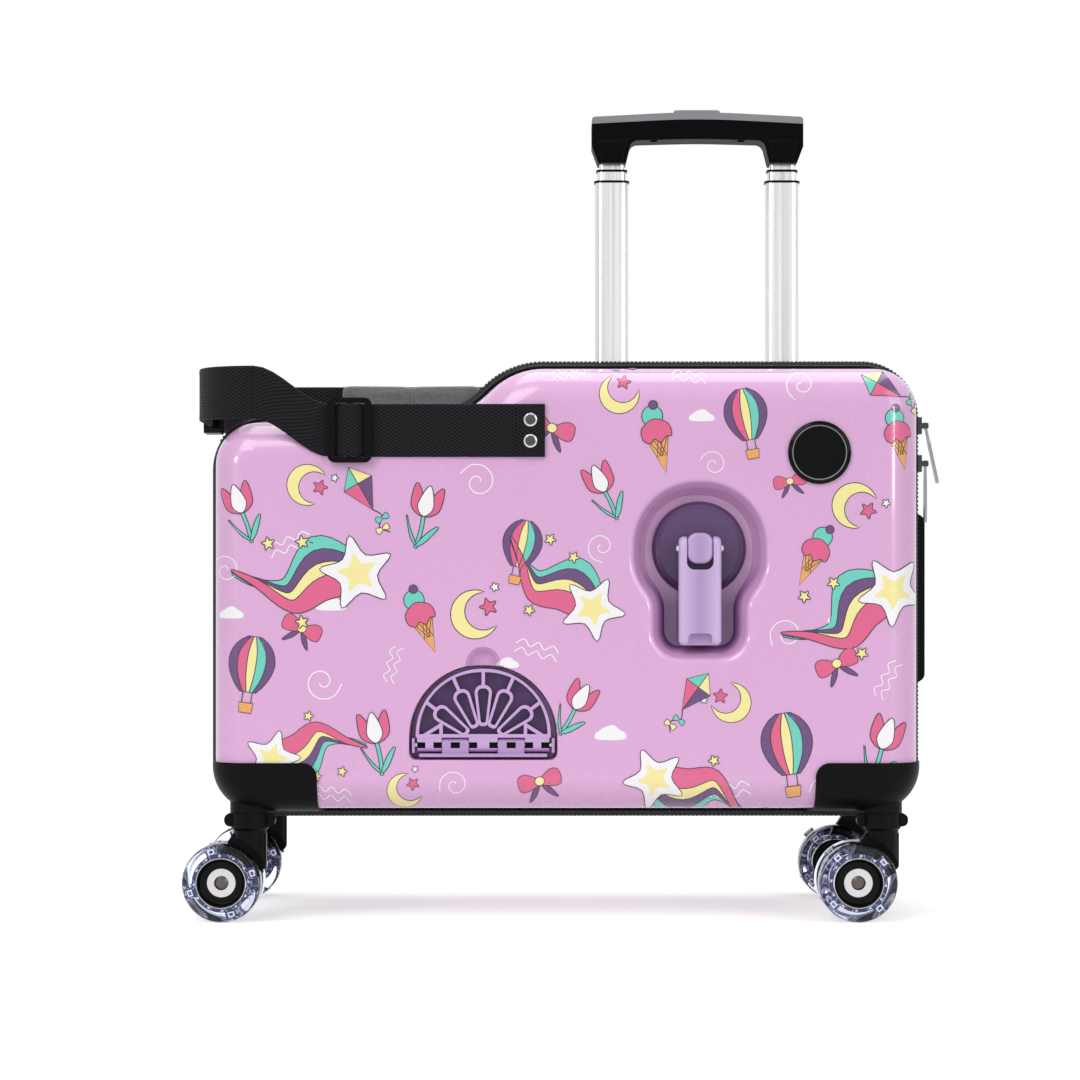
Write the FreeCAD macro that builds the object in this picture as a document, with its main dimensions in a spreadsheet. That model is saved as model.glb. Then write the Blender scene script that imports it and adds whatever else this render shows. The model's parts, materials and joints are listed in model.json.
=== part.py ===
"""Ride-on suitcase: a hinged two-half shell on twin-wheel casters, with a seat step, a back belt,
fold-out hand grips and footrests, and a three-stage pull handle.

Millimetres. +X is the front of the ride, -Y the side that the photograph shows, +Z up, and the
origin lies on the floor under the middle of the case.
"""
import FreeCAD, Part

import math
import os
import re

import Sketcher

# Driving dimensions, kept in the document's spreadsheet
SIZES = {
    # case
    "case_length": 503.0,
    "case_height": 323.5,
    "case_depth": 214.0,
    "ground_gap": 66.0,
    "corner_round": 40.0,
    "seat_drop": 37.0,
    "step_place": 40.0,
    "step_run": 38.0,
    "step_round": 60.0,
    "shell_inset": 6.0,
    "shell_draft": 4.0,
    "shell_wall": 2.4,
    "face_round": 24.0,
    "rim_depth": 12.0,
    "rim_width": 12.0,
    "rim_slope": 5.0,
    "rim_gap": 0.15,
    "seat_gap": 0.1,
    "slide_gap": 0.3,
    "pin_gap": 0.05,
    # badge
    "badge_inset": 79.5,
    "badge_down": 69.5,
    "badge_radius": 21.4,
    "badge_thick": 2.6,
    # hand grip and its recess
    "handle_x": 91.0,
    "handle_down": 134.5,
    "recess_depth": 20.0,
    "recess_slope": 25.0,
    "recess_head": 46.0,
    "recess_neck": 33.0,
    "recess_tail": 76.0,
    "recess_edge": 6.0,
    "disc_radius": 32.2,
    "disc_thick": 5.0,
    "disc_bead": 2.4,
    "lug_width": 17.6,
    "lug_half": 10.5,
    "lug_nose": 6.2,
    "lug_reach": 9.5,
    "handle_width": 29.0,
    "handle_thick": 13.5,
    "handle_drop": 66.0,
    "handle_ear": 8.0,
    "handle_slot": 14.6,
    "handle_pin_radius": 2.2,
    "handle_pin_head": 3.2,
    "pin_head_thick": 1.5,
    # footrest and its recess
    "foot_x": -56.5,
    "foot_z": 121.0,
    "foot_well_depth": 17.0,
    "foot_well_slope": 5.0,
    "foot_well_half": 50.5,
    "foot_well_base": 10.0,
    "foot_well_gap": 3.0,
    "finger_radius": 12.0,
    "finger_depth": 8.0,
    "pedal_radius": 46.0,
    "pedal_rise": 6.0,
    "pedal_thick": 10.0,
    "pedal_plate": 3.0,
    "pedal_rib": 2.3,
    "pedal_base": 5.2,
    "petal_start": 13.0,
    "petal_tip": 41.0,
    "petal_half": 6.6,
    "petal_foot": 3.0,
    "strut_x": 28.7,
    "strut_top": 15.0,
    "strut_foot": 42.5,
    "foot_pin_depth": 7.0,
    "foot_pin_radius": 1.8,
    "knuckle_radius": 4.8,
    "knuckle_side": 45.0,
    "knuckle_outer": 28.0,
    "knuckle_inner": 10.0,
    "knuckle_window": 6.2,
    "knuckle_notch": 5.6,
    "window_height": 4.0,
    "window_depth": 2.2,
    "frame_plate": 2.4,
    "frame_bar": 2.2,
    "frame_post": 1.8,
    # corner guards and casters
    "guard_wall": 2.2,
    "guard_length": 82.0,
    "guard_height": 43.0,
    "guard_round": 10.0,
    "guard_lip": 2.0,
    "caster_inset": 34.5,
    "caster_in": 23.0,
    "socket_radius": 13.75,
    "socket_low": 74.0,
    "socket_high": 104.0,
    "stem_radius": 6.0,
    "stem_high": 97.0,
    "collar_radius": 13.0,
    "collar_low": 63.5,
    "ear_reach": 17.5,
    "ear_width": 9.0,
    "ear_low": 64.4,
    "ear_high": 73.4,
    "leg_radius": 11.3,
    "leg_low": 33.0,
    "trail": 18.0,
    "wheel_radius": 27.0,
    "wheel_width": 17.0,
    "wheel_clear": 4.0,
    "web_thick": 8.0,
    "web_gap": 1.0,
    "web_boss": 9.0,
    "axle_radius": 3.0,
    "hub_radius": 17.0,
    "hub_inset": 0.6,
    "hub_rim": 14.4,
    "hub_dish": 3.2,
    "washer_radius": 9.7,
    "washer_thick": 1.6,
    "rivet_head": 4.9,
    "tyre_round": 4.5,
    # pull handle
    "trolley_x": 95.4,
    "trolley_y": 27.0,
    "tube_pitch": 123.0,
    "tube_wide": 24.0,
    "tube_deep": 17.0,
    "tube_round": 6.0,
    "tube_wall": 1.2,
    "sleeve_wall": 1.6,
    "drawn_out": 132.4,
    "stage_show": 8.0,
    "tube_length": 292.0,
    "collar_thick": 1.6,
    "collar_proud": 0.7,
    "bezel_length": 166.0,
    "bezel_depth": 33.0,
    "bezel_sink": 1.9,
    "grip_half": 76.0,
    "grip_deep": 26.0,
    "grip_rise": 4.0,
    "grip_thick": 21.0,
    "grip_edge": 4.0,
    "ferrule_drop": 16.0,
    "ferrule_proud": 1.0,
    "tube_seat": 13.0,
    "cap_thick": 5.0,
    "button_length": 34.0,
    "button_width": 10.0,
    "button_proud": 2.4,
    "button_deep": 7.0,
    "button_travel": 3.0,
    # carry handle on the front end
    "carry_y": 52.0,
    "carry_half": 68.0,
    "carry_up": 155.0,
    "carry_width": 22.0,
    "carry_out": 10.5,
    "carry_thick": 6.0,
    "carry_foot": 24.0,
    # back belt
    "belt_width": 36.0,
    "belt_thick": 2.0,
    "belt_front": -14.5,
    "belt_down": 54.5,
    "belt_rise": 26.0,
    "belt_away": 1.0,
    "belt_turn": 40.0,
    "belt_gap": 0.3,
    "slider_x": -147.0,
    "slider_width": 30.0,
    "slider_height": 44.0,
    "slider_thick": 3.0,
    "slider_bar": 5.0,
    "buckle_height": 44.0,
    "buckle_thick": 12.0,
    "buckle_length": 26.0,
    "buckle_start": 3.0,
    "rivet_x": -24.4,
    "rivet_pitch": 14.4,
    "rivet_radius": 5.0,
    "rivet_dome": 2.0,
    "rivet_shank": 1.6,
    "pad_front": -61.0,
    "pad_length": 106.0,
    "pad_height": 40.0,
    "pad_thick": 11.0,
    "pad_channel": 2.6,
    "pad_draw": 3.0,
    # zip sliders and pulls
    "zip_upper_down": 45.5,
    "zip_lower_down": 72.5,
    "zip_body": 2.8,
    "zip_half": 4.5,
    "zip_tall": 12.0,
    "zip_bar_out": 5.6,
    "zip_bar_radius": 1.2,
    "pull_thick": 1.8,
    "pull_width": 7.0,
    "pull_length": 42.0,
    "pull_tilt": 12.0,
}

doc = FreeCAD.newDocument("ride_on_suitcase")
sheet = doc.addObject("Spreadsheet::Sheet", "sizes")
for row, (alias, value) in enumerate(SIZES.items(), 1):
    sheet.set(f"A{row}", alias)
    sheet.set(f"B{row}", str(value))
    sheet.setAlias(f"B{row}", alias)
doc.recompute()

V = FreeCAD.Vector
PARTS = {}


# Sheet helpers
def cells(expression):
    """Writes the sheet's name before every alias in an expression."""
    return re.sub(r"[a-z_]+", lambda m: "sizes." + m[0] if m[0] in SIZES else m[0], expression)


def size(expression):
    """The value of an expression in the sheet's aliases."""
    value = sheet.evalExpression(cells(expression))
    return float(getattr(value, "Value", value))


def bind(obj, **expressions):
    """Binds properties to the sheet; a double underscore stands for the dot in a path."""
    for path, expression in expressions.items():
        obj.setExpression(path.replace("__", "."), cells(expression))
    return obj


def keep(label, obj):
    """Names a finished sub-part, which is then written to its own file."""
    obj.Label = label
    PARTS[label] = obj
    return obj


# Sketch helpers
def new_body(name):
    return doc.addObject("PartDesign::Body", name)


def sketch(body, plane, height="0", x="0", y="0", turn="0"):
    """A sketch on one of the body's origin planes, moved in that plane and along its normal."""
    drawn = body.newObject("Sketcher::SketchObject", "sketch")
    origin = next(f for f in body.Origin.OriginFeatures if f.Role == plane + "_Plane")
    drawn.AttachmentSupport = [(origin, "")]
    drawn.MapMode = "FlatFace"
    axis = V(0, 0, -1 if turn.startswith("-") else 1)
    angle = turn.lstrip("-")
    drawn.AttachmentOffset = FreeCAD.Placement(V(0, 0, 0), FreeCAD.Rotation(axis, size(angle)))
    bind(drawn, AttachmentOffset__Base__x=x, AttachmentOffset__Base__y=y, AttachmentOffset__Base__z=height)
    return drawn


def dimension(drawn, kind, *place):
    """Adds one driving dimension; the last two entries are its expression and its value now."""
    *where, expression, now = place
    index = drawn.addConstraint(Sketcher.Constraint(kind, *where, now))
    drawn.setExpression(f"Constraints[{index}]", cells(expression))


def circle(drawn, radius, x="0", y="0"):
    centre = V(size(x), size(y), 0)
    ring = drawn.addGeometry(Part.Circle(centre, V(0, 0, 1), size(radius)))
    dimension(drawn, "Radius", ring, radius, size(radius))
    dimension(drawn, "DistanceX", -1, 1, ring, 3, x, centre.x)
    dimension(drawn, "DistanceY", -1, 1, ring, 3, y, centre.y)
    return drawn


def outline(drawn, corners):
    """A closed outline through sharp corners (x, y, radius), counter-clockwise, with rounded ones as arcs."""
    points = [V(size(x), size(y), 0) for x, y, _ in corners]
    radii = [size(radius) for _, _, radius in corners]
    count = len(points)
    ways = [(points[(i + 1) % count] - points[i]).normalize() for i in range(count)]
    turns = [math.atan2(ways[i - 1].cross(ways[i]).z, ways[i - 1].dot(ways[i])) for i in range(count)]
    reach = [radii[i] * math.tan(abs(turns[i]) / 2) for i in range(count)]
    sides = []
    for i in range(count):
        start = points[i] + ways[i] * reach[i]
        end = points[(i + 1) % count] - ways[i] * reach[(i + 1) % count]
        sides.append(drawn.addGeometry(Part.LineSegment(start, end)))
    for i, (x, y, radius) in enumerate(corners):
        before, after = sides[i - 1], sides[i]
        if radii[i] > 0:
            left = turns[i] > 0
            start = points[i] - ways[i - 1] * reach[i]
            end = points[i] + ways[i] * reach[i]
            centre = start + V(-ways[i - 1].y, ways[i - 1].x, 0) * (radii[i] if left else -radii[i])
            first, last = (start, end) if left else (end, start)
            angles = [math.atan2(p.y - centre.y, p.x - centre.x) for p in (first, last)]
            arc = drawn.addGeometry(Part.ArcOfCircle(Part.Circle(centre, V(0, 0, 1), radii[i]), *angles))
            drawn.addConstraint(Sketcher.Constraint("Tangent", before, 2, arc, 1 if left else 2))
            drawn.addConstraint(Sketcher.Constraint("Tangent", arc, 2 if left else 1, after, 1))
            dimension(drawn, "Radius", arc, radius, radii[i])
            corner = drawn.addGeometry(Part.Point(points[i]), True)
            drawn.addConstraint(Sketcher.Constraint("PointOnObject", corner, 1, before))
            drawn.addConstraint(Sketcher.Constraint("PointOnObject", corner, 1, after))
            place = (corner, 1)
        else:
            drawn.addConstraint(Sketcher.Constraint("Coincident", before, 2, after, 1))
            place = (after, 1)
        dimension(drawn, "DistanceX", -1, 1, *place, x, points[i].x)
        dimension(drawn, "DistanceY", -1, 1, *place, y, points[i].y)
    return drawn


def slab(x0, x1, y0, y1, radius="0"):
    """Corners of a rectangle for outline()."""
    return [(x0, y0, radius), (x1, y0, radius), (x1, y1, radius), (x0, y1, radius)]


# Feature helpers
def feature(body, kind, drawn, length, taper=None, reverse=False, middle=False):
    made = body.newObject("PartDesign::" + kind, kind.lower())
    made.Profile = drawn
    made.Reversed = reverse
    made.Midplane = middle
    bind(made, Length=length)
    if taper:
        bind(made, TaperAngle=taper)
    return made


def pad(body, drawn, length, **options):
    return feature(body, "Pad", drawn, length, **options)


def pocket(body, drawn, length, **options):
    return feature(body, "Pocket", drawn, length, **options)


def revolve(body, plane, corners, axis, **place):
    """A full turn of a closed profile about one of its sketch's own axes."""
    drawn = outline(sketch(body, plane, **place), corners)
    made = body.newObject("PartDesign::Revolution", "revolution")
    made.Profile = drawn
    made.ReferenceAxis = (drawn, [axis])
    made.Angle = 360
    return made


def soften(body, wanted, radius):
    """Fillets the edges of the body's tip that the test picks."""
    doc.recompute()
    base = body.Tip
    names = [f"Edge{i}" for i, edge in enumerate(base.Shape.Edges, 1) if wanted(edge)]
    made = body.newObject("PartDesign::Fillet", "fillet")
    made.Base = (base, names)
    bind(made, Radius=radius)
    return made


def lies_at(edge, axis, place):
    """Whether an edge lies in the plane where one coordinate has that value."""
    box = edge.BoundBox
    low, high = getattr(box, axis + "Min"), getattr(box, axis + "Max")
    return abs(low - place) < 1e-3 and abs(high - place) < 1e-3


def boolean(kind, name, base, tool):
    made = doc.addObject("Part::" + kind, name)
    made.Base = base
    made.Tool = tool
    return made


def cut(name, base, *tools):
    for tool in tools:
        base = boolean("Cut", name, base, tool)
    return base


def rod(name, radius, length, x="0", y="0", z="0", axis=V(0, 0, 1)):
    made = doc.addObject("Part::Cylinder", name)
    made.Placement = FreeCAD.Placement(V(0, 0, 0), FreeCAD.Rotation(V(0, 0, 1), axis))
    return bind(made, Radius=radius, Height=length, Placement__Base__x=x, Placement__Base__y=y,
                Placement__Base__z=z)


def mirrored(name, source):
    """The same piece on the far side of the case's middle plane."""
    made = doc.addObject("Part::Mirroring", name)
    made.Source = source
    made.Normal = V(0, 1, 0)
    return made


def group(name, pieces, x="0", y="0", z="0"):
    """Several solids as one object, moved as a whole."""
    made = doc.addObject("Part::Compound", name)
    made.Links = pieces
    return bind(made, Placement__Base__x=x, Placement__Base__y=y, Placement__Base__z=z)


# Case: the outline of both halves, with the seat step cut into its rear top
FACE = "(case_depth / 2)"
TOP = "(ground_gap + case_height)"
END = "(case_length / 2)"
BADGE_X, BADGE_Z = f"({END} - badge_inset)", f"({TOP} - badge_down)"
HANDLE_Z = f"({TOP} - handle_down)"
CASTER_X, CASTER_Y = f"({END} - caster_inset)", f"({FACE} - caster_in)"
CARRY_Z, CARRY_REACH = "(ground_gap + carry_up)", f"({END} + carry_out)"
BELT_Z, BELT_REAR = f"({TOP} - belt_down)", f"({END} + belt_away)"
ZIP_UPPER, ZIP_LOWER = f"({TOP} - zip_upper_down)", f"({TOP} - zip_lower_down)"


def case_outline(inset):
    shift = f"({inset}) * tan(atan(seat_drop / step_run) / 2)"
    left = f"-case_length / 2 + ({inset})"
    right = f"case_length / 2 - ({inset})"
    low = f"ground_gap + ({inset})"
    high = f"{TOP} - ({inset})"
    corner = f"corner_round - ({inset})"
    return [
        (left, low, corner),
        (right, low, corner),
        (right, high, corner),
        (f"-step_place + {shift}", high, f"step_round - ({inset})"),
        (f"-step_place - step_run + {shift}", f"{high} - seat_drop", f"step_round + ({inset})"),
        (left, f"{high} - seat_drop", corner),
    ]


def case_half(name, grow):
    """The near half of the case as a solid, grown by a wall or shrunk by one."""
    body = new_body(name)
    inset = f"shell_inset - ({grow})"
    drawn = outline(sketch(body, "XZ", "rim_depth"), case_outline(inset))
    pad(body, drawn, f"{FACE} + ({grow}) - rim_depth", taper="-shell_draft")
    face = -size(f"{FACE} + ({grow})")
    soften(body, lambda edge: lies_at(edge, "Y", face), f"face_round + ({grow})")
    return body


def handle_well(grow):
    """Keyhole outline of the hand grip's recess, about the grip's hinge."""
    head = f"recess_head + ({grow})"
    neck = f"recess_neck + ({grow})"
    tail = f"recess_tail + ({grow})"
    drop = f"recess_head * 0.4 + ({grow}) * 0.3"
    throat = f"recess_head * 0.8 + ({grow}) * 0.3"
    side = f"recess_head * 0.95 + ({grow})"
    waist = f"recess_head * 0.8 + ({grow})"
    hollow = f"recess_head * 0.4 - ({grow})"
    foot = f"recess_neck * 0.6 + ({grow})"
    return [
        (f"-({neck})", f"-({tail})", foot),
        (neck, f"-({tail})", foot),
        (neck, f"-({throat})", hollow),
        (head, f"-({drop})", waist),
        (head, head, side),
        (f"-({head})", head, side),
        (f"-({head})", f"-({drop})", waist),
        (f"-({neck})", f"-({throat})", hollow),
    ]


def foot_well(grow):
    """Arch outline of the footrest's recess, about the footrest's hinge."""
    half = f"foot_well_half + ({grow})"
    base = f"foot_well_base + ({grow})"
    arch = f"pedal_rise + pedal_radius + foot_well_gap + ({grow})"
    return [
        (f"-({half})", f"-({base})", f"foot_well_base * 0.5 + ({grow})"),
        (half, f"-({base})", f"foot_well_base * 0.5 + ({grow})"),
        (half, arch, f"foot_well_half * 0.98 + ({grow})"),
        (f"-({half})", arch, f"foot_well_half * 0.98 + ({grow})"),
    ]


def wells(body, grow, wall):
    """Cuts the grip's and the footrest's recesses into a case half; wall grows them for its inner side."""
    face = f"{FACE} + ({grow})"
    lean = f"({wall}) * (1 / cos(recess_slope) - tan(recess_slope))"
    drawn = outline(sketch(body, "XZ", face, "handle_x", HANDLE_Z), handle_well(lean))
    pocket(body, drawn, "recess_depth", taper="-recess_slope")
    lean = f"({wall}) * (1 / cos(foot_well_slope) - tan(foot_well_slope))"
    drawn = outline(sketch(body, "XZ", face, "foot_x", "foot_z"), foot_well(lean))
    pocket(body, drawn, "foot_well_depth", taper="-foot_well_slope")
    scoop = sketch(body, "XZ", face, "foot_x", "foot_z + pedal_rise + pedal_radius + foot_well_gap")
    pocket(body, circle(scoop, f"finger_radius + ({wall}) * 0.6"), "finger_depth", taper="-recess_slope")


outer = case_half("shell_outside", "0")
wells(outer, "0", "0")
well_face = -size(FACE)


def on_well(edge):
    """Edges of the grip's recess where it opens in the face."""
    middle = V(size("handle_x"), 0, size(HANDLE_Z))
    box = edge.BoundBox
    near = abs(box.Center.x - middle.x) <= size("recess_head") + 1
    tall = -size("recess_tail") - 1 <= box.Center.z - middle.z <= size("recess_head") + 1
    return lies_at(edge, "Y", well_face) and near and tall


soften(outer, on_well, "recess_edge")
inner = case_half("shell_inside", "-shell_wall")
wells(inner, "-shell_wall", "shell_wall")
doc.recompute()

caster_holes = group("caster_holes", [
    rod("caster_hole", "socket_radius + seat_gap", "socket_high + seat_gap", f"{side} * {CASTER_X}", f"-{CASTER_Y}")
    for side in (-1, 1)
])
rivet_holes = group("rivet_holes", [
    rod("rivet_hole", "rivet_shank + pin_gap", "2 * face_round", "rivet_x", f"-{FACE} - face_round",
        f"{BELT_Z} + {side} * rivet_pitch / 2", V(0, 1, 0))
    for side in (-1, 1)
])
half_shell = cut("half_shell", outer, inner, caster_holes, rivet_holes)
keep("near_shell", half_shell)

# Zip rims: a sloped band round each half's mouth, with a groove for the zip tape
rim = new_body("near_rim_body")
pad(rim, outline(sketch(rim, "XZ", "rim_gap"), case_outline("0")), "rim_depth - rim_gap",
    taper="-atan(rim_slope / (rim_depth - rim_gap))")
pocket(rim, outline(sketch(rim, "XZ"), case_outline("rim_width")), "2 * rim_depth", middle=True)
keep("near_rim", rim)
keep("far_rim", mirrored("far_rim_mirror", rim))

# Badge: a plain domed disc with a raised edge
badge = new_body("badge_body")
revolve(badge, "XY", [
    ("0", f"-{FACE} - badge_thick", "0"),
    ("badge_radius * 0.86", f"-{FACE} - badge_thick * 0.7", "0"),
    ("badge_radius * 0.9", f"-{FACE} - badge_thick", "0"),
    ("badge_radius", f"-{FACE} - badge_thick * 0.6", "0"),
    ("badge_radius", f"-{FACE} - seat_gap", "0"),
    ("0", f"-{FACE} - seat_gap", "0"),
], "V_Axis", height=BADGE_Z, x=BADGE_X)
keep("badge", badge)

# Hand grips: a hinge disc in the recess, a slotted grip that hangs from its lug, and their pin
FLOOR = f"({FACE} - recess_depth + seat_gap)"
DISC = f"({FLOOR} + disc_thick)"
PIN = f"({DISC} + lug_reach)"
disc = new_body("handle_disc_body")
revolve(disc, "XY", [
    ("0", f"-{DISC}", "0"),
    ("disc_radius - disc_bead * 2", f"-{DISC}", "0"),
    ("disc_radius - disc_bead", f"-{DISC} - disc_bead / 2", "0"),
    ("disc_radius", f"-{DISC} + disc_bead", "0"),
    ("disc_radius", f"-{FLOOR}", "0"),
    ("0", f"-{FLOOR}", "0"),
], "V_Axis", height=HANDLE_Z, x="handle_x")
lug = outline(sketch(disc, "XZ", FLOOR, "handle_x", HANDLE_Z),
              slab("-lug_width / 2", "lug_width / 2", "-lug_half", "lug_half", "lug_width * 0.4"))
LUG_FRONT = f"({PIN} + lug_nose)"
pad(disc, lug, f"{LUG_FRONT} - {FLOOR}")
lug_face = -size(LUG_FRONT)
soften(disc, lambda edge: lies_at(edge, "Y", lug_face), "lug_nose * 0.4")
pocket(disc, circle(sketch(disc, "YZ", "handle_x", f"-{PIN}", HANDLE_Z), "handle_pin_radius + pin_gap"),
       "2 * lug_width", middle=True)
keep("near_handle_disc", disc)
keep("far_handle_disc", mirrored("far_handle_disc_mirror", disc))

grip = new_body("handle_grip_body")
side_view = outline(sketch(grip, "YZ", "handle_x", f"-{PIN}", HANDLE_Z), [
    ("-handle_thick / 2", "-handle_drop", "handle_thick * 0.3"),
    ("handle_thick / 2", "-handle_drop", "handle_thick * 0.3"),
    ("handle_thick / 2", "handle_ear", "handle_thick * 0.49"),
    ("-handle_thick / 2", "handle_ear", "handle_thick * 0.49"),
])
pad(grip, side_view, "handle_width", middle=True)
sides = [size(f"handle_x + {side} * handle_width / 2") for side in (-1, 1)]
soften(grip, lambda edge: any(lies_at(edge, "X", side) for side in sides), "handle_thick * 0.25")
slot_half = "lug_width / 2 + slide_gap"
pocket(grip, outline(sketch(grip, "XZ", PIN, "handle_x", HANDLE_Z),
                     [(f"-({slot_half})", "-handle_slot", "lug_width * 0.3"),
                      (slot_half, "-handle_slot", "lug_width * 0.3"),
                      (slot_half, "2 * handle_ear", "0"), (f"-({slot_half})", "2 * handle_ear", "0")]),
       "2 * handle_thick", middle=True)
pocket(grip, circle(sketch(grip, "YZ", "handle_x", f"-{PIN}", HANDLE_Z), "handle_pin_radius + pin_gap"),
       "2 * handle_width", middle=True)
thumb = outline(sketch(grip, "XZ", f"{PIN} + handle_thick / 2", "handle_x", f"{HANDLE_Z} - handle_drop"),
                slab("-handle_width * 0.28", "handle_width * 0.28", "-handle_ear", "handle_ear",
                     "handle_ear * 0.4"))
pocket(grip, thumb, "handle_thick * 0.4")
keep("near_handle_grip", grip)
keep("far_handle_grip", mirrored("far_handle_grip_mirror", grip))

handle_pin = new_body("handle_pin_body")
EAR = "handle_width / 2 + seat_gap"
revolve(handle_pin, "XY", [
    (f"-({EAR}) - pin_head_thick", "0", "0"),
    (f"{EAR} + pin_head_thick", "0", "0"),
    (f"{EAR} + pin_head_thick", "handle_pin_head * 0.7", "0"),
    (EAR, "handle_pin_head", "0"),
    (EAR, "handle_pin_radius", "0"),
    (f"-({EAR})", "handle_pin_radius", "0"),
    (f"-({EAR})", "handle_pin_head", "0"),
    (f"-({EAR}) - pin_head_thick", "handle_pin_head * 0.7", "0"),
], "H_Axis", height=HANDLE_Z, x="handle_x", y=f"-{PIN}")
keep("near_handle_pin", handle_pin)
keep("far_handle_pin", mirrored("far_handle_pin_mirror", handle_pin))

# Footrests: a hinge frame in the recess and a fan-ribbed pedal that folds down on its pin
HINGE = f"({FACE} - foot_pin_depth)"
BACK = f"({FACE} - foot_well_depth + seat_gap)"
frame = new_body("footrest_frame_body")
room = "-(foot_well_depth - seat_gap) * tan(foot_well_slope) - 2 * slide_gap"
pad(frame, outline(sketch(frame, "XZ", BACK, "foot_x", "foot_z"), foot_well(room)), "frame_plate")
bar_low = f"-foot_well_base - ({room})"
half = f"foot_well_half + ({room})"
pad(frame, outline(sketch(frame, "XZ", BACK, "foot_x", "foot_z"),
                   slab(f"-({half}) + foot_well_base / 2", f"{half} - foot_well_base / 2", bar_low,
                        f"{bar_low} + frame_bar")), f"foot_well_depth - seat_gap")
for side in ("-1", "1"):
    post = slab(f"{side} * ({half}) - frame_post / 2 - {side} * frame_post / 2",
                f"{side} * ({half}) + frame_post / 2 - {side} * frame_post / 2", "-foot_well_base * 0.5",
                "knuckle_radius")
    pad(frame, outline(sketch(frame, "XZ", BACK, "foot_x", "foot_z"), post), "foot_well_depth - seat_gap")
    inside, outside = f"{side} * knuckle_inner", f"{side} * knuckle_outer"
    ends = (inside, outside) if side == "1" else (outside, inside)
    block = outline(sketch(frame, "YZ", f"foot_x + {ends[0]}", f"-{HINGE}", "foot_z"), [
        ("-knuckle_radius", f"{bar_low} + frame_bar / 2", "0"),
        ("knuckle_radius", f"{bar_low} + frame_bar / 2", "0"),
        ("knuckle_radius", "knuckle_radius", "knuckle_radius * 0.95"),
        ("-knuckle_radius", "knuckle_radius", "knuckle_radius * 0.95"),
    ])
    pad(frame, block, f"{ends[1]} - ({ends[0]})")
    window = outline(sketch(frame, "XZ", f"{HINGE} + knuckle_radius",
                            f"foot_x + {side} * (knuckle_inner + knuckle_outer) / 2", "foot_z"),
                     slab("-knuckle_window / 2", "knuckle_window / 2", "-window_height / 2", "window_height / 2"))
    pocket(frame, window, "window_depth")
pocket(frame, circle(sketch(frame, "YZ", "foot_x", f"-{HINGE}", "foot_z"), "foot_pin_radius + pin_gap"),
       "3 * foot_well_half", middle=True)
keep("near_footrest_frame", frame)
keep("far_footrest_frame", mirrored("far_footrest_frame_mirror", frame))

pedal = new_body("footrest_pedal_body")
PEDAL_BACK = f"({HINGE} - pedal_thick / 2)"
PLATE = f"({PEDAL_BACK} + pedal_plate)"


def half_moon(radius, base, corner):
    """Outline of the pedal, a half disc over the hinge line."""
    return [
        (f"-({radius})", base, "0"),
        (radius, base, "0"),
        (radius, f"pedal_rise + ({radius})", corner),
        (f"-({radius})", f"pedal_rise + ({radius})", corner),
    ]


pad(pedal, outline(sketch(pedal, "XZ", PEDAL_BACK, "foot_x", "foot_z"),
                   half_moon("pedal_radius", "pedal_base", "pedal_radius * 0.99")), "pedal_thick")
arch_round = "pedal_radius + pedal_rise - pedal_base - 2 * pedal_rib - slide_gap"
pocket(pedal, outline(sketch(pedal, "XZ", f"{HINGE} + pedal_thick / 2", "foot_x", "foot_z"),
                      half_moon("pedal_radius - pedal_rib", "pedal_base + pedal_rib", arch_round)),
       "pedal_thick - pedal_plate")
RIB = f"{HINGE} + pedal_thick / 2 - {PLATE}"


def petal(margin):
    """Teardrop outline of one fan loop, which widens away from the hinge."""
    wide = f"petal_half - ({margin})"
    narrow = f"petal_foot - ({margin}) * 0.6"
    return [
        (f"-({narrow})", f"petal_start + ({margin})", f"({narrow}) * 0.8"),
        (narrow, f"petal_start + ({margin})", f"({narrow}) * 0.8"),
        (wide, f"petal_tip - ({margin})", f"({wide}) * 0.8"),
        (f"-({wide})", f"petal_tip - ({margin})", f"({wide}) * 0.8"),
    ]


for turn in ("-53", "-24", "0", "24", "53"):
    place = {"height": PLATE, "x": "foot_x", "y": "foot_z", "turn": turn}
    loop = outline(sketch(pedal, "XZ", **place), petal("0"))
    outline(loop, petal("pedal_rib"))
    pad(pedal, loop, RIB)
    spoke = slab("-pedal_rib / 2", "pedal_rib / 2", "petal_tip - pedal_rib / 2",
                 f"pedal_radius + pedal_rise * cos({turn.lstrip('-')}) - pedal_rib / 2")
    pad(pedal, outline(sketch(pedal, "XZ", **place), spoke), RIB)
STRUT_LOW = "pedal_base + pedal_rib / 2"
lean = math.degrees(math.atan2(size(f"strut_top - ({STRUT_LOW})"), size("strut_foot - strut_x")))
for side in ("-1", "1"):
    post = slab(f"{side} * strut_x - pedal_rib / 2", f"{side} * strut_x + pedal_rib / 2", STRUT_LOW, "strut_top")
    pad(pedal, outline(sketch(pedal, "XZ", PLATE, "foot_x", "foot_z"), post), RIB)
    brace = sketch(pedal, "XZ", PLATE, f"foot_x + {side} * strut_x", "foot_z + strut_top - pedal_rib / 2",
                   f"{'-' if side == '1' else ''}{lean}")
    reach = f"{side} * sqrt((strut_foot - strut_x)^2 + (strut_top - pedal_base - pedal_rib)^2)"
    ends = ("0", reach) if side == "1" else (reach, "0")
    pad(pedal, outline(brace, slab(*ends, "-pedal_rib / 2", "pedal_rib / 2")), RIB)
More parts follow.
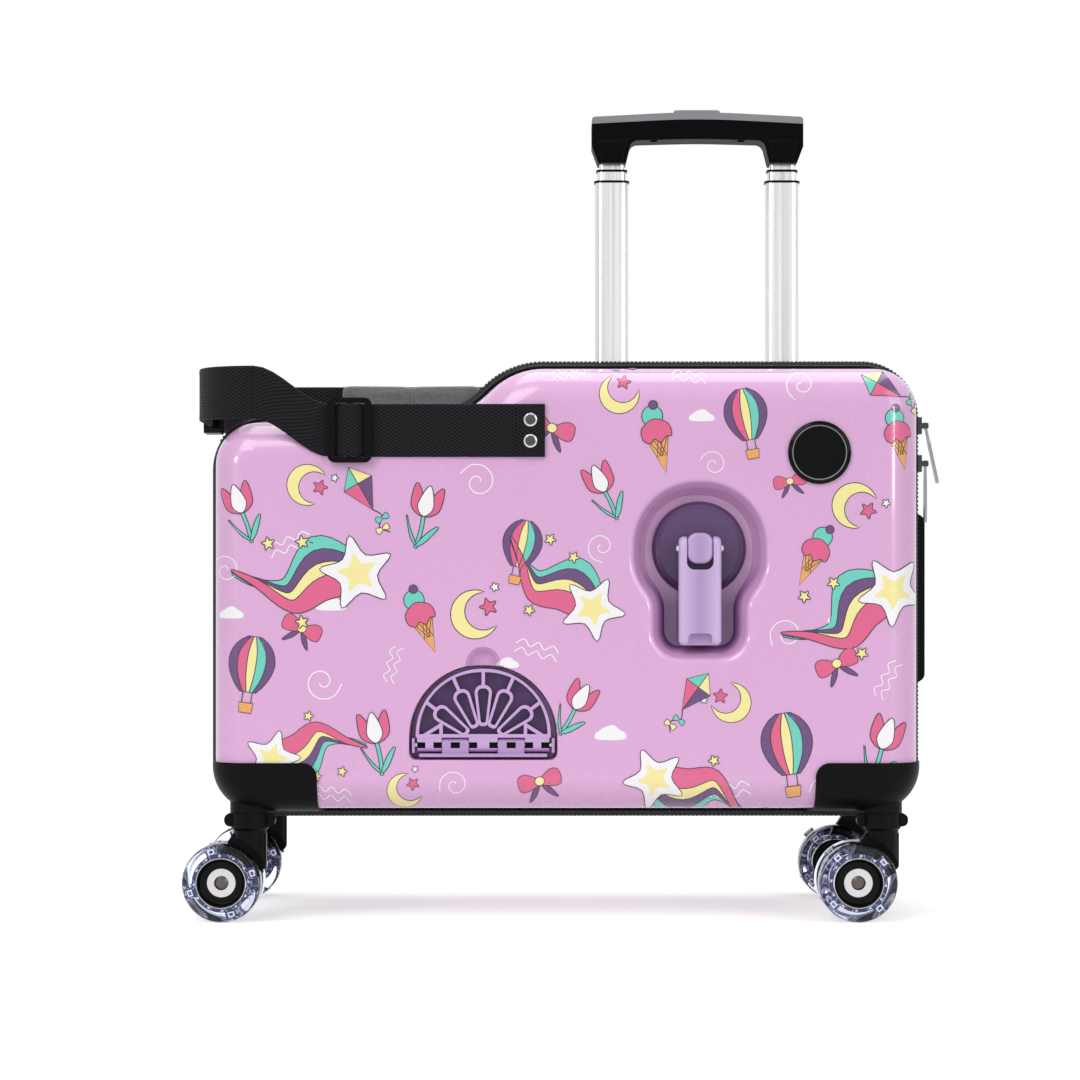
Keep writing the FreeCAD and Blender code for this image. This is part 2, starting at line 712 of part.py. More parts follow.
for left, right in (("-knuckle_side", "-knuckle_outer - slide_gap"),
                    ("-knuckle_inner + slide_gap", "knuckle_inner - slide_gap"),
                    ("knuckle_outer + slide_gap", "knuckle_side")):
    barrel = outline(sketch(pedal, "YZ", f"foot_x + {left}", f"-{HINGE}", "foot_z"), [
        ("-knuckle_radius", "-knuckle_radius", "knuckle_radius * 0.95"),
        ("knuckle_radius", "-knuckle_radius", "knuckle_radius * 0.95"),
        ("knuckle_radius", "pedal_base + pedal_rib / 2", "0"),
        ("-knuckle_radius", "pedal_base + pedal_rib / 2", "0"),
    ])
    pad(pedal, barrel, f"{right} - ({left})")
    for ends in ((left, f"{left} + knuckle_notch"), (f"{right} - knuckle_notch", right)):
        notch = sketch(pedal, "XZ", f"{HINGE} + knuckle_radius", "foot_x", "foot_z")
        pocket(pedal, outline(notch, slab(*ends, "-window_height / 2", "window_height / 2")), "window_depth")
pocket(pedal, circle(sketch(pedal, "YZ", "foot_x", f"-{HINGE}", "foot_z"), "foot_pin_radius + pin_gap"),
       "3 * foot_well_half", middle=True)
keep("near_footrest_pedal", pedal)
keep("far_footrest_pedal", mirrored("far_footrest_pedal_mirror", pedal))

foot_pin = rod("footrest_pin_rod", "foot_pin_radius", f"2 * ({half}) - slide_gap",
               f"foot_x - ({half}) + slide_gap / 2", f"-{HINGE}", "foot_z", V(1, 0, 0))
keep("near_footrest_pin", foot_pin)
keep("far_footrest_pin", mirrored("far_footrest_pin_mirror", foot_pin))

# Corner guards: a plate wrapped round each lower corner, with the caster's socket through the shell
guard_skin = case_half("guard_outside", "guard_wall")
guard_room = cut("guard_room", case_half("guard_inside", "seat_gap"), caster_holes)
bore = rod("stem_bore", "stem_radius + pin_gap", "stem_high + seat_gap - socket_low", z="socket_low")
GUARD_TOP = "ground_gap + guard_height"
for end, side in (("rear", -1), ("front", 1)):
    wrap = new_body(f"guard_wrap_{end}")
    far_x, near_x = f"{side} * case_length", f"{side} * (case_length / 2 - guard_length)"
    corners = [(near_x, GUARD_TOP, "guard_round"), (near_x, "0", "0"), (far_x, "0", "0"), (far_x, GUARD_TOP, "0")]
    corners = corners if side > 0 else corners[::-1]
    pad(wrap, outline(sketch(wrap, "XZ", "rim_depth + guard_lip"), corners), "case_depth")
    plate = boolean("Common", f"guard_plate_{end}", guard_skin, wrap)
    socket = rod(f"caster_socket_{end}", "socket_radius", "socket_high - socket_low", f"{side} * {CASTER_X}",
                 f"-{CASTER_Y}", "socket_low")
    joined = boolean("Fuse", f"guard_joined_{end}", plate, socket)
    stem_hole = group(f"stem_hole_{end}", [bore], f"{side} * {CASTER_X}", f"-{CASTER_Y}")
    guard = cut(f"guard_{end}", joined, guard_room, stem_hole)
    keep(f"near_{end}_guard", guard)
    keep(f"far_{end}_guard", mirrored(f"far_{end}_guard_mirror", guard))

# Casters: a swivelling yoke with a web between two wheels, which turn together on one axle
yoke = new_body("yoke_body")
revolve(yoke, "XZ", [
    ("0", "leg_low", "0"),
    ("leg_radius", "leg_low", "0"),
    ("leg_radius", "collar_low - collar_radius + leg_radius", "0"),
    ("collar_radius", "collar_low", "0"),
    ("collar_radius", "socket_low - slide_gap", "0"),
    ("stem_radius", "socket_low - slide_gap", "0"),
    ("stem_radius", "stem_high", "0"),
    ("0", "stem_high", "0"),
], "V_Axis")
ears = outline(sketch(yoke, "XZ"),
               slab("-ear_reach", "ear_reach", "ear_low", "ear_high", "(ear_high - ear_low) * 0.45"))
pad(yoke, ears, "ear_width", middle=True)
pocket(yoke, circle(sketch(yoke, "XZ"), "wheel_radius + wheel_clear", "-trail", "wheel_radius"),
       "4 * leg_radius", middle=True)
web = outline(sketch(yoke, "XZ"), [
    ("-trail - web_boss", "wheel_radius - web_boss", "web_boss * 0.9"),
    ("-trail + web_boss", "wheel_radius - web_boss", "web_boss * 0.9"),
    ("leg_radius", "leg_low + web_boss * 0.4", "web_boss * 0.5"),
    ("leg_radius", "collar_low - web_boss * 0.4", "0"),
    ("-leg_radius", "collar_low - web_boss * 0.4", "0"),
    ("-trail - web_boss", "wheel_radius + web_boss", "web_boss * 0.9"),
])
pad(yoke, web, "web_thick", middle=True)
pocket(yoke, circle(sketch(yoke, "XZ"), "axle_radius + pin_gap", "-trail", "wheel_radius"),
       "2 * web_thick", middle=True)

INSIDE = "(web_thick / 2 + web_gap)"
OUTSIDE = f"({INSIDE} + wheel_width)"
HUB_FACE = f"({OUTSIDE} - hub_inset)"
SEAT = f"({HUB_FACE} - hub_dish - washer_thick)"
WHEEL = {"height": "wheel_radius", "x": "-trail"}
axle = new_body("axle_body")
HEAD = f"({SEAT} + 2 * washer_thick)"
revolve(axle, "XY", [
    ("0", f"-{HEAD}", "0"),
    ("rivet_head * 0.7", f"-{HEAD}", "0"),
    ("rivet_head", f"-{HEAD} + washer_thick * 0.7", "0"),
    ("rivet_head", f"-{SEAT} - washer_thick", "0"),
    ("washer_radius", f"-{SEAT} - washer_thick", "0"),
    ("washer_radius", f"-{SEAT} - seat_gap", "0"),
    ("axle_radius", f"-{SEAT} - seat_gap", "0"),
    ("axle_radius", f"{SEAT} + seat_gap", "0"),
    ("washer_radius", f"{SEAT} + seat_gap", "0"),
    ("washer_radius", f"{SEAT} + washer_thick", "0"),
    ("rivet_head", f"{SEAT} + washer_thick", "0"),
    ("rivet_head", f"{HEAD} - washer_thick * 0.7", "0"),
    ("rivet_head * 0.7", HEAD, "0"),
    ("0", HEAD, "0"),
], "V_Axis", **WHEEL)

hub = new_body("hub_body")
WELL = "washer_radius + seat_gap"
revolve(hub, "XY", [
    ("axle_radius + pin_gap", f"-{SEAT}", "0"),
    (WELL, f"-{SEAT}", "0"),
    (WELL, f"-{HUB_FACE} + hub_dish", "0"),
    ("hub_rim", f"-{HUB_FACE} + hub_dish", "hub_dish * 0.4"),
    ("hub_rim + hub_dish * 0.4", f"-{HUB_FACE}", "0"),
    ("hub_radius", f"-{HUB_FACE}", "0"),
    ("hub_radius", f"-{INSIDE} - hub_inset", "0"),
    ("axle_radius + pin_gap", f"-{INSIDE} - hub_inset", "0"),
], "V_Axis", **WHEEL)
tyre = new_body("tyre_body")
revolve(tyre, "XY", [
    ("hub_radius + pin_gap", f"-{OUTSIDE}", "0"),
    ("wheel_radius", f"-{OUTSIDE}", "tyre_round"),
    ("wheel_radius", f"-{INSIDE}", "tyre_round"),
    ("hub_radius + pin_gap", f"-{INSIDE}", "0"),
], "V_Axis", **WHEEL)
doc.recompute()
MASTERS = {
    "yoke": [yoke],
    "axle": [axle],
    "hubs": [hub, mirrored("hub_mirror", hub)],
    "tyres": [tyre, mirrored("tyre_mirror", tyre)],
}
for half_name, across in (("near", -1), ("far", 1)):
    for end, side in (("rear", -1), ("front", 1)):
        for piece, masters in MASTERS.items():
            label = f"{half_name}_{end}_{piece}"
            keep(label, group(label + "_group", masters, f"{side} * {CASTER_X}", f"{across} * {CASTER_Y}"))

# Pull handle: fixed sleeves in the far half, three nested tube stages and the hand grip
SHELF = f"({TOP} - shell_inset - (trolley_y - rim_depth) * tan(shell_draft))"


def tube_outline(margin):
    """Rounded section of a tube, shrunk by a margin from the outermost moving one."""
    wide, deep = f"tube_wide / 2 - ({margin})", f"tube_deep / 2 - ({margin})"
    return slab(f"-({wide})", wide, f"-({deep})", deep, f"tube_round - ({margin})")


def tube(name, outside, inside, low, length):
    """A left and a right tube between two margins, as one object."""
    pair = []
    for side in (-1, 1):
        body = new_body(f"{name}_{'rear' if side < 0 else 'front'}")
        place = {"height": low, "x": f"trolley_x + {side} * tube_pitch / 2", "y": "trolley_y"}
        drawn = outline(sketch(body, "XY", **place), tube_outline(outside))
        outline(drawn, tube_outline(inside))
        pad(body, drawn, length)
        pair.append(body)
    return group(name + "_pair", pair)


def passage(name, margin, low, length):
    """Solid fillings of the tubes' section, used to cut their openings."""
    pair = []
    for side in (-1, 1):
        body = new_body(f"{name}_{'rear' if side < 0 else 'front'}")
        place = {"height": low, "x": f"trolley_x + {side} * tube_pitch / 2", "y": "trolley_y"}
        pad(body, outline(sketch(body, "XY", **place), tube_outline(margin)), length)
        pair.append(body)
    return group(name + "_pair", pair)


STEP = "(tube_wall + slide_gap)"
far_half = mirrored("far_half_mirror", half_shell)
sleeve_hole = passage("sleeve_hole", "-slide_gap - sleeve_wall - seat_gap", f"{TOP} - case_height / 2",
                      "case_height")
keep("far_shell", cut("far_shell_cut", far_half, sleeve_hole))
room_floor = f"(ground_gap + shell_inset + (trolley_y - rim_depth + tube_deep) * tan(shell_draft) + shell_wall)"
SLEEVE_LOW = f"({room_floor} + seat_gap)"
BEZEL_LOW = f"({SHELF} + seat_gap)"
keep("trolley_sleeves", tube("sleeve", "-slide_gap - sleeve_wall", "-slide_gap", SLEEVE_LOW,
                             f"{BEZEL_LOW} - seat_gap - {SLEEVE_LOW}"))
bezel = new_body("bezel_body")
pad(bezel, outline(sketch(bezel, "XY", BEZEL_LOW, "trolley_x", "rim_depth + slide_gap"),
                   slab("-bezel_length / 2", "bezel_length / 2", "0", "bezel_depth", "tube_round * 0.5")),
    f"{TOP} - bezel_sink - {BEZEL_LOW}")
bezel_hole = passage("bezel_hole", "-slide_gap", BEZEL_LOW, "case_height")
far_room = mirrored("far_room_mirror", guard_room)
keep("trolley_bezel", cut("bezel_cut", bezel, far_room, bezel_hole))

FIRST_TOP = f"({TOP} + drawn_out - collar_thick)"
SECOND_TOP = f"({FIRST_TOP} + stage_show)"
THIRD_LOW = f"({SECOND_TOP} - tube_length + 2 * stage_show)"
GRIP_LOW = f"({SECOND_TOP} + collar_thick + stage_show / 2)"
keep("stage_one_tubes", tube("first_tube", "0", "tube_wall", f"{FIRST_TOP} - tube_length", "tube_length"))
keep("stage_one_collars", tube("first_collar", "-collar_proud", f"{STEP} - slide_gap / 2", FIRST_TOP,
                               "collar_thick"))
keep("stage_two_tubes", tube("second_tube", STEP, f"{STEP} + tube_wall",
                             f"{SECOND_TOP} - tube_length + stage_show", "tube_length - stage_show"))
keep("stage_two_collars", tube("second_collar", f"{STEP} - collar_proud", f"2 * {STEP} - slide_gap / 2",
                               SECOND_TOP, "collar_thick"))
keep("stage_three_tubes", tube("third_tube", f"2 * {STEP}", f"2 * {STEP} + tube_wall", THIRD_LOW,
                               f"{GRIP_LOW} + tube_seat - {THIRD_LOW}"))

BAR_LOW = f"({GRIP_LOW} + ferrule_drop)"
BAR_TOP = f"({BAR_LOW} + grip_thick - cap_thick)"
FERRULE = f"(tube_wide / 2 - 2 * {STEP} + ferrule_proud)"
handle = new_body("trolley_grip_body")
leg_in, leg_out = f"tube_pitch / 2 - {FERRULE}", f"tube_pitch / 2 + {FERRULE}"
profile = outline(sketch(handle, "XZ", "-trolley_y", "trolley_x"), [
    (f"-({leg_out})", GRIP_LOW, "0"),
    (f"-({leg_in})", GRIP_LOW, "0"),
    (f"-({leg_in}) + grip_edge", BAR_LOW, "grip_edge * 1.5"),
    ("0", f"{BAR_LOW} + grip_rise / 3", "8 * grip_half"),
    (f"{leg_in} - grip_edge", BAR_LOW, "grip_edge * 1.5"),
    (leg_in, GRIP_LOW, "0"),
    (leg_out, GRIP_LOW, "0"),
    ("grip_half", f"{BAR_LOW} - grip_edge", "grip_edge * 0.5"),
    ("grip_half", f"{BAR_TOP} - grip_rise", "0"),
    ("0", BAR_TOP, "8 * grip_half"),
    ("-grip_half", f"{BAR_TOP} - grip_rise", "0"),
    ("-grip_half", f"{BAR_LOW} - grip_edge", "grip_edge * 0.5"),
])
pad(handle, profile, "grip_deep", middle=True)
pocket(handle, outline(sketch(handle, "XY", BAR_TOP, "trolley_x", "trolley_y"),
                       slab("-button_length / 2", "button_length / 2", "-button_width / 2", "button_width / 2",
                            "button_width * 0.45")), "button_deep")
for side in (-1, 1):
    seat = sketch(handle, "XY", GRIP_LOW, f"trolley_x + {side} * tube_pitch / 2", "trolley_y")
    pocket(handle, outline(seat, tube_outline(f"2 * {STEP} - pin_gap")), "tube_seat + seat_gap", reverse=True)
keep("trolley_grip", handle)

cap = new_body("trolley_cap_body")
CAP_LOW = f"({BAR_TOP} + seat_gap)"
lid = outline(sketch(cap, "XZ", "-trolley_y", "trolley_x"), [
    ("-grip_half", f"{CAP_LOW} - grip_rise", "0"),
    ("0", CAP_LOW, "8 * grip_half"),
    ("grip_half", f"{CAP_LOW} - grip_rise", "0"),
    ("grip_half", f"{CAP_LOW} - grip_rise + cap_thick", "cap_thick * 0.5"),
    ("0", f"{CAP_LOW} + cap_thick", "8 * grip_half"),
    ("-grip_half", f"{CAP_LOW} - grip_rise + cap_thick", "cap_thick * 0.5"),
])
pad(cap, lid, "grip_deep", middle=True)
pocket(cap, outline(sketch(cap, "XY", f"{CAP_LOW} + cap_thick", "trolley_x", "trolley_y"),
                    slab("-button_length / 2", "button_length / 2", "-button_width / 2", "button_width / 2",
                         "button_width * 0.45")), "3 * cap_thick", middle=True)
keep("trolley_cap", cap)

button = new_body("lock_button_body")
BUTTON_LOW = f"({BAR_TOP} - button_deep + button_travel + slide_gap)"
key = slab("-button_length / 2 + slide_gap", "button_length / 2 - slide_gap", "-button_width / 2 + slide_gap",
           "button_width / 2 - slide_gap", "button_width * 0.4")
pad(button, outline(sketch(button, "XY", BUTTON_LOW, "trolley_x", "trolley_y"), key),
    f"{CAP_LOW} + cap_thick + button_proud - {BUTTON_LOW}")
button_top = size(f"{CAP_LOW} + cap_thick + button_proud")
soften(button, lambda edge: lies_at(edge, "Z", button_top), "button_proud * 0.5")
keep("lock_button", button)

# Carry handle: a bridge on the far half's front end
carry = new_body("carry_handle_body")
half_run = "carry_half - carry_foot * 0.4"
bridge = outline(sketch(carry, "XZ", "-carry_y", y=CARRY_Z), [
    ("case_length / 4", "-carry_half", "0"),
    ("case_length / 2 - shell_inset", "-carry_half", "0"),
    (CARRY_REACH, f"-({half_run})", "carry_thick"),
    (CARRY_REACH, half_run, "carry_thick"),
    ("case_length / 2 - shell_inset", "carry_half", "0"),
    ("case_length / 4", "carry_half", "0"),
])
pad(carry, bridge, "carry_width", middle=True)
hand_gap = slab("case_length / 4", f"{CARRY_REACH} - carry_thick", "-carry_half + carry_foot", "carry_half - carry_foot",
                "0")
pocket(carry, outline(sketch(carry, "XZ", "-carry_y", y=CARRY_Z), hand_gap), "2 * carry_width", middle=True)
keep("carry_handle", cut("carry_cut", carry, far_room))

# Back belt: webbing from the near anchor round the rear to the far anchor
SKIN = f"({FACE} + belt_gap + belt_thick / 2)"


def webbing(stations):
    """A ruled band of belt through stations (x, y, middle height, heading in degrees)."""
    sections = []
    half_width, half_thick = size("belt_width / 2"), size("belt_thick / 2")
    for x, y, z, heading in stations:
        side = V(-math.sin(math.radians(heading)), math.cos(math.radians(heading)), 0) * half_thick
        up = V(0, 0, half_width)
        middle = V(x, y, z)
        ring = [middle - side - up, middle + side - up, middle + side + up, middle - side + up]
        sections.append(Part.makePolygon(ring + ring[:1]))
    return Part.makeLoft(sections, True, True)


def band(name, stations):
    made = doc.addObject("Part::Feature", name)
    made.Shape = webbing(stations)
    return made


def ease(share):
    """A smooth climb from 0 to 1."""
    return share * share * (3 - 2 * share)


skin, low, high = size(SKIN), size(BELT_Z), size(f"{BELT_Z} + belt_rise")
middle_x, bar = size("slider_x"), size("slider_bar")
lift = size("slider_thick + 2 * belt_gap + belt_thick")
slot = size("slider_width / 2 - slider_bar - belt_gap")
turn_x = -size(f"{BELT_REAR} - belt_turn")
turn_y = size(f"{SKIN} - belt_turn")
CLIMB = 6
near_run = [(size("belt_front"), -skin, low, 180), (middle_x + slot, -skin, low, 180),
            (middle_x + bar / 2, -skin - lift, low, 180), (middle_x - bar / 2, -skin - lift, low, 180),
            (middle_x - slot, -skin, low, 180)]
for step in range(CLIMB + 1):
    share = step / CLIMB
    near_run.append((middle_x - slot - 4 + (turn_x - middle_x + slot + 4) * share, -skin,
                     low + (high - low) * ease(share), 180))
near_band = band("near_band", near_run)
keep("belt_near", cut("belt_near_cut", near_band, rivet_holes))

CORNER = 8
radius = size("belt_turn")
rear_run = []
for step in range(CORNER + 1):
    angle = math.radians(90 * step / CORNER)
    rear_run.append((turn_x - radius * math.sin(angle), -turn_y - radius * math.cos(angle), high,
                     180 - 90 * step / CORNER))
rear_run[0] = (turn_x - size("seat_gap"), -skin, high, 180)
rear_run.append((turn_x - radius, size("buckle_start - belt_gap"), high, 90))
keep("belt_rear", band("rear_band", rear_run))

far_run = [(turn_x - radius, size("buckle_start + buckle_length + belt_gap"), high, 90)]
for step in range(CORNER + 1):
    angle = math.radians(90 * step / CORNER)
    far_run.append((turn_x - radius * math.cos(angle), turn_y + radius * math.sin(angle), high,
                    90 - 90 * step / CORNER))
pad_front, front = size("pad_front"), size("belt_front")
for step in range(CLIMB + 1):
    share = step / CLIMB
    far_run.append((pad_front + (front - size("rivet_radius * 4") - pad_front) * share, skin,
                    high + (low - high) * ease(share), 0))
far_run.append((front, skin, low, 0))
far_band = band("far_band", far_run)
far_rivet_holes = mirrored("far_rivet_holes", rivet_holes)
keep("belt_far", cut("belt_far_cut", far_band, far_rivet_holes))

# Belt pad: two stuffed cells with a sewn channel, its long sides drawn in
pad_back = size(f"{SKIN} - belt_thick / 2 - belt_gap")
pad_top = size(f"{BELT_Z} + belt_rise + pad_height / 2")
stations = []
CELL = 6
for cell in range(2):
    for step in range(CELL + 1):
        share = step / CELL
        puff = math.sin(math.pi * share) ** 0.5
        if cell and not step:
            continue
        stations.append((pad_front - size("pad_length / 2") * (cell + share), puff))
pad_sections = []
for x, puff in stations:
    deep = size("pad_channel") + (size("pad_thick") - size("pad_channel")) * puff
    tall = size("pad_height / 2") - size("pad_draw") * (1 - puff)
    edge = deep * 0.3
    z = high
    low_out, high_out = V(x, pad_back, z - tall), V(x, pad_back, z + tall)
    high_in, low_in = V(x, pad_back - edge, z + tall), V(x, pad_back - edge, z - tall)
    crown = Part.Arc(high_in, V(x, pad_back - deep, z), low_in).toShape()
    pad_sections.append(Part.Wire([
        Part.makeLine(low_out, high_out), Part.makeLine(high_out, high_in), crown,
        Part.makeLine(low_in, low_out)]))
cushion = doc.addObject("Part::Feature", "belt_pad_solid")
cushion.Shape = Part.makeLoft(pad_sections, True, True)
keep("belt_pad", cushion)

# Belt slider: an upright frame with a middle bar that the webbing is woven over
slider = new_body("belt_slider_body")
plate = sketch(slider, "XZ", f"{SKIN} + belt_thick / 2 + belt_gap", "slider_x", BELT_Z)
outline(plate, slab("-slider_width / 2", "slider_width / 2", "-slider_height / 2", "slider_height / 2",
                    "slider_bar"))
pad(slider, plate, "slider_thick")
window_high = "belt_width / 2 + belt_gap"
for side in ("-1", "1"):
    inside = f"{side} * slider_bar / 2"
    outside = f"{side} * (slider_width / 2 - slider_bar)"
    ends = (inside, outside) if side == "1" else (outside, inside)
    slot_sketch = sketch(slider, "XZ", f"{SKIN} + belt_thick / 2 + belt_gap + slider_thick / 2", "slider_x", BELT_Z)
    pocket(slider, outline(slot_sketch, slab(*ends, f"-({window_high})", window_high)), "4 * slider_thick",
           middle=True)
keep("belt_slider", slider)

# Belt buckle: a latched block across the rear, with a release tab at each edge
buckle = new_body("belt_buckle_body")
case = outline(sketch(buckle, "YZ", f"-{BELT_REAR} - buckle_thick / 2", "buckle_start", f"{BELT_Z} + belt_rise"),
               slab("0", "buckle_length", "-buckle_height / 2", "buckle_height / 2", "buckle_thick * 0.3"))
pad(buckle, case, "buckle_thick")
for side in ("-1", "1"):
    edge_z = f"{side} * buckle_height / 2"
    notch = sketch(buckle, "YZ", f"-{BELT_REAR}", "buckle_start + buckle_length * 0.5",
                   f"{BELT_Z} + belt_rise + {edge_z}")
    pocket(buckle, outline(notch, slab("-buckle_length * 0.2", "buckle_length * 0.2", "-buckle_thick * 0.4",
                                       "buckle_thick * 0.4", "buckle_thick * 0.2")), "2 * buckle_thick",
           middle=True)
keep("belt_buckle", buckle)

# Belt rivets: domed heads with shanks through the webbing and the shell
rivet = new_body("belt_rivet_body")
OUT = f"({SKIN} + belt_thick / 2 + seat_gap)"
IN = f"({FACE} - shell_wall - seat_gap)"
revolve(rivet, "XY", [
    ("0", f"-{OUT} - rivet_dome", "0"),
    ("rivet_radius * 0.7", f"-{OUT} - rivet_dome * 0.75", "0"),
    ("rivet_radius", f"-{OUT} - rivet_dome * 0.25", "0"),
    ("rivet_radius", f"-{OUT}", "0"),
    ("rivet_shank", f"-{OUT}", "0"),
    ("rivet_shank", f"-{IN}", "0"),
    ("rivet_radius * 0.9", f"-{IN}", "0"),
    ("rivet_radius * 0.9", f"-{IN} + rivet_dome * 0.6", "0"),
    ("0", f"-{IN} + rivet_dome * 0.6", "0"),
], "V_Axis", x="rivet_x")
rivets = group("near_rivets", [
    group("rivet_low", [rivet], z=f"{BELT_Z} - rivet_pitch / 2"),
    group("rivet_high", [rivet], z=f"{BELT_Z} + rivet_pitch / 2"),
])
keep("belt_rivets_near", rivets)
keep("belt_rivets_far", mirrored("far_rivets", rivets))

# Zip sliders and pulls on the front end
ZIP = "(case_length / 2 + seat_gap)"
ZIP_BAR = f"({ZIP} + zip_bar_out)"
runner = new_body("zip_runner_body")
pad(runner, outline(sketch(runner, "XZ", x=ZIP), slab("0", "zip_body", "-zip_tall / 2", "zip_tall / 2", "0")),
    "2 * zip_half", middle=True)
for side in ("-1", "1"):
    cheek = outline(sketch(runner, "XZ", f"{side} * zip_half * 0.65", ZIP),
                    slab("0", "zip_bar_out + 1.6 * zip_bar_radius", "-1.6 * zip_bar_radius", "1.6 * zip_bar_radius"))
    pad(runner, cheek, "zip_half * 0.3", middle=True)
pad(runner, circle(sketch(runner, "XZ", x=ZIP_BAR), "zip_bar_radius"), "zip_half * 1.4", middle=True)
keep("zip_sliders", group("zip_slider_pair", [
    group("zip_slider_upper", [runner], z=ZIP_UPPER),
    group("zip_slider_lower", [runner], z=ZIP_LOWER),
]))
tab = new_body("zip_tab_body")
shape = outline(sketch(tab, "YZ"), [
    ("-zip_half * 0.4", "2 * zip_bar_radius", "zip_bar_radius * 0.5"),
    ("-zip_half * 0.4", "-pull_length * 0.2", "pull_width * 0.2"),
    ("-pull_width / 2", "-pull_length * 0.3", "pull_width * 0.2"),
    ("-pull_width / 2", "-pull_length", "pull_width * 0.35"),
    ("pull_width / 2", "-pull_length", "pull_width * 0.35"),
    ("pull_width / 2", "-pull_length * 0.3", "pull_width * 0.2"),
    ("zip_half * 0.4", "-pull_length * 0.2", "pull_width * 0.2"),
    ("zip_half * 0.4", "2 * zip_bar_radius", "zip_bar_radius * 0.5"),
])
pad(tab, shape, "pull_thick", middle=True)
pad(tab, circle(sketch(tab, "XZ"), "2 * zip_bar_radius"), "zip_half * 0.8", middle=True)
pocket(tab, circle(sketch(tab, "XZ"), "zip_bar_radius + 2 * pin_gap"), "2 * zip_half", middle=True)
for name, height, tilt in (("upper", ZIP_UPPER, "-pull_tilt"), ("lower", ZIP_LOWER, "0")):
    pull = group(f"zip_pull_{name}_group", [tab], ZIP_BAR, z=height)
    pull.Placement.Rotation = FreeCAD.Rotation(V(0, 1, 0), size(tilt))
    keep(f"zip_pull_{name}", pull)

# Checks and files
doc.recompute()
broken = [obj.Name for obj in doc.Objects if {"Invalid", "Error"} & set(obj.State)]
if broken:
    raise RuntimeError(f"failed to compute: {broken}")
for label, obj in PARTS.items():
    if obj.Shape.isNull() or not obj.Shape.isValid() or not obj.Shape.Solids:
        raise RuntimeError(f"{label} has no valid solid")
os.makedirs("parts", exist_ok=True)
for label, obj in PARTS.items():
    obj.Shape.exportStep(f"parts/{label}.step")
print(f"{len(PARTS)} sub-parts")
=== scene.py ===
"""Looks of the ride-on suitcase: finishes for its solids, and the soft, woven and printed pieces.

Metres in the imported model's frame: +X to the front of the ride, -Y to the badge's side, +Z up.
Sizes in the classes are millimetres, as in the part's source.
"""

import json
import logging
import math
from collections.abc import Callable, Iterable, Sequence
from dataclasses import dataclass, field
from enum import Enum, auto

import bmesh
import bpy
from mathutils import Matrix, Vector
from mathutils.bvhtree import BVHTree

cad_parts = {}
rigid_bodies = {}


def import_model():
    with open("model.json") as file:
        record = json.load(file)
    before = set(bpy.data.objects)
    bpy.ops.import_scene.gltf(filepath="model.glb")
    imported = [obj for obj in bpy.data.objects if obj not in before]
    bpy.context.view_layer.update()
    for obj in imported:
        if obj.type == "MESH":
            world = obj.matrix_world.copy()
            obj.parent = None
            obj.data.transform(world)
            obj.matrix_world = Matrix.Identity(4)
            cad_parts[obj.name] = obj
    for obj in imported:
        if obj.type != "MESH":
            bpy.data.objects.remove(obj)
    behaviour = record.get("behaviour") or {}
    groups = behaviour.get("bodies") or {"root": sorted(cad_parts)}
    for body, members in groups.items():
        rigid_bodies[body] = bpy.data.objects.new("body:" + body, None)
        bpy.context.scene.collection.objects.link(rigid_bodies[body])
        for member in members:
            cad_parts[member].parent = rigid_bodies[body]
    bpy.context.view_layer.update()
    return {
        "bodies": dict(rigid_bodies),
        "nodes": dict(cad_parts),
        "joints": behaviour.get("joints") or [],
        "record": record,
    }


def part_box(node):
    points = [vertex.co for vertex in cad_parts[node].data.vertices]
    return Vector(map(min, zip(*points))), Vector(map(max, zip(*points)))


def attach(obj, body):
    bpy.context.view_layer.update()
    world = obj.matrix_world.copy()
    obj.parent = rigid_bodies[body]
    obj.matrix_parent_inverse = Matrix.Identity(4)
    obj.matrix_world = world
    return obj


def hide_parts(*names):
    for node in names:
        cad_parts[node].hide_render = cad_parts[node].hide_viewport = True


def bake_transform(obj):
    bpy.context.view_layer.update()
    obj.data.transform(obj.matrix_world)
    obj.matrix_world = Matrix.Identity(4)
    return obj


LOG = logging.getLogger("suitcase")
MM = 0.001
Flat = tuple[float, float]
Triple = tuple[float, float, float]
Spot = tuple[float, float, float, float]
Tone = tuple[int, int, int]
# The halves with their sides along Y, and the ends with theirs along X
HALVES = (("near", -1), ("far", 1))
ENDS = (("rear", -1), ("front", 1))


def linear(red: int, green: int, blue: int) -> tuple[float, float, float, float]:
    """Turns a display colour into the linear one that a shader takes.

    Args:
        red, green, blue: Display values from 0 to 255.

    Returns:
        Linear red, green, blue and an alpha of 1.
    """
    def channel(value: int) -> float:
        """One channel's linear value."""
        share = value / 255
        return share / 12.92 if share <= 0.04045 else ((share + 0.055) / 1.055) ** 2.4

    return channel(red), channel(green), channel(blue), 1.0


class Ink(Enum):
    """Colours of the shell's printed film, as display values."""

    BLACK = (22, 20, 26)
    WHITE = (247, 245, 248)
    PURPLE = (98, 58, 118)
    TEAL = (104, 207, 190)
    PINK = (224, 92, 138)
    YELLOW = (247, 235, 158)
    ORANGE = (236, 166, 92)


# Node trees
def feed(tree: bpy.types.NodeTree, socket: bpy.types.NodeSocket, value: object) -> None:
    """Links a socket to an output, or sets its value.

    Args:
        tree: The tree that holds the socket.
        socket: The input that is filled.
        value: A node's output, a number or a colour.
    """
    if isinstance(value, bpy.types.NodeSocket):
        tree.links.new(value, socket)
    else:
        socket.default_value = value


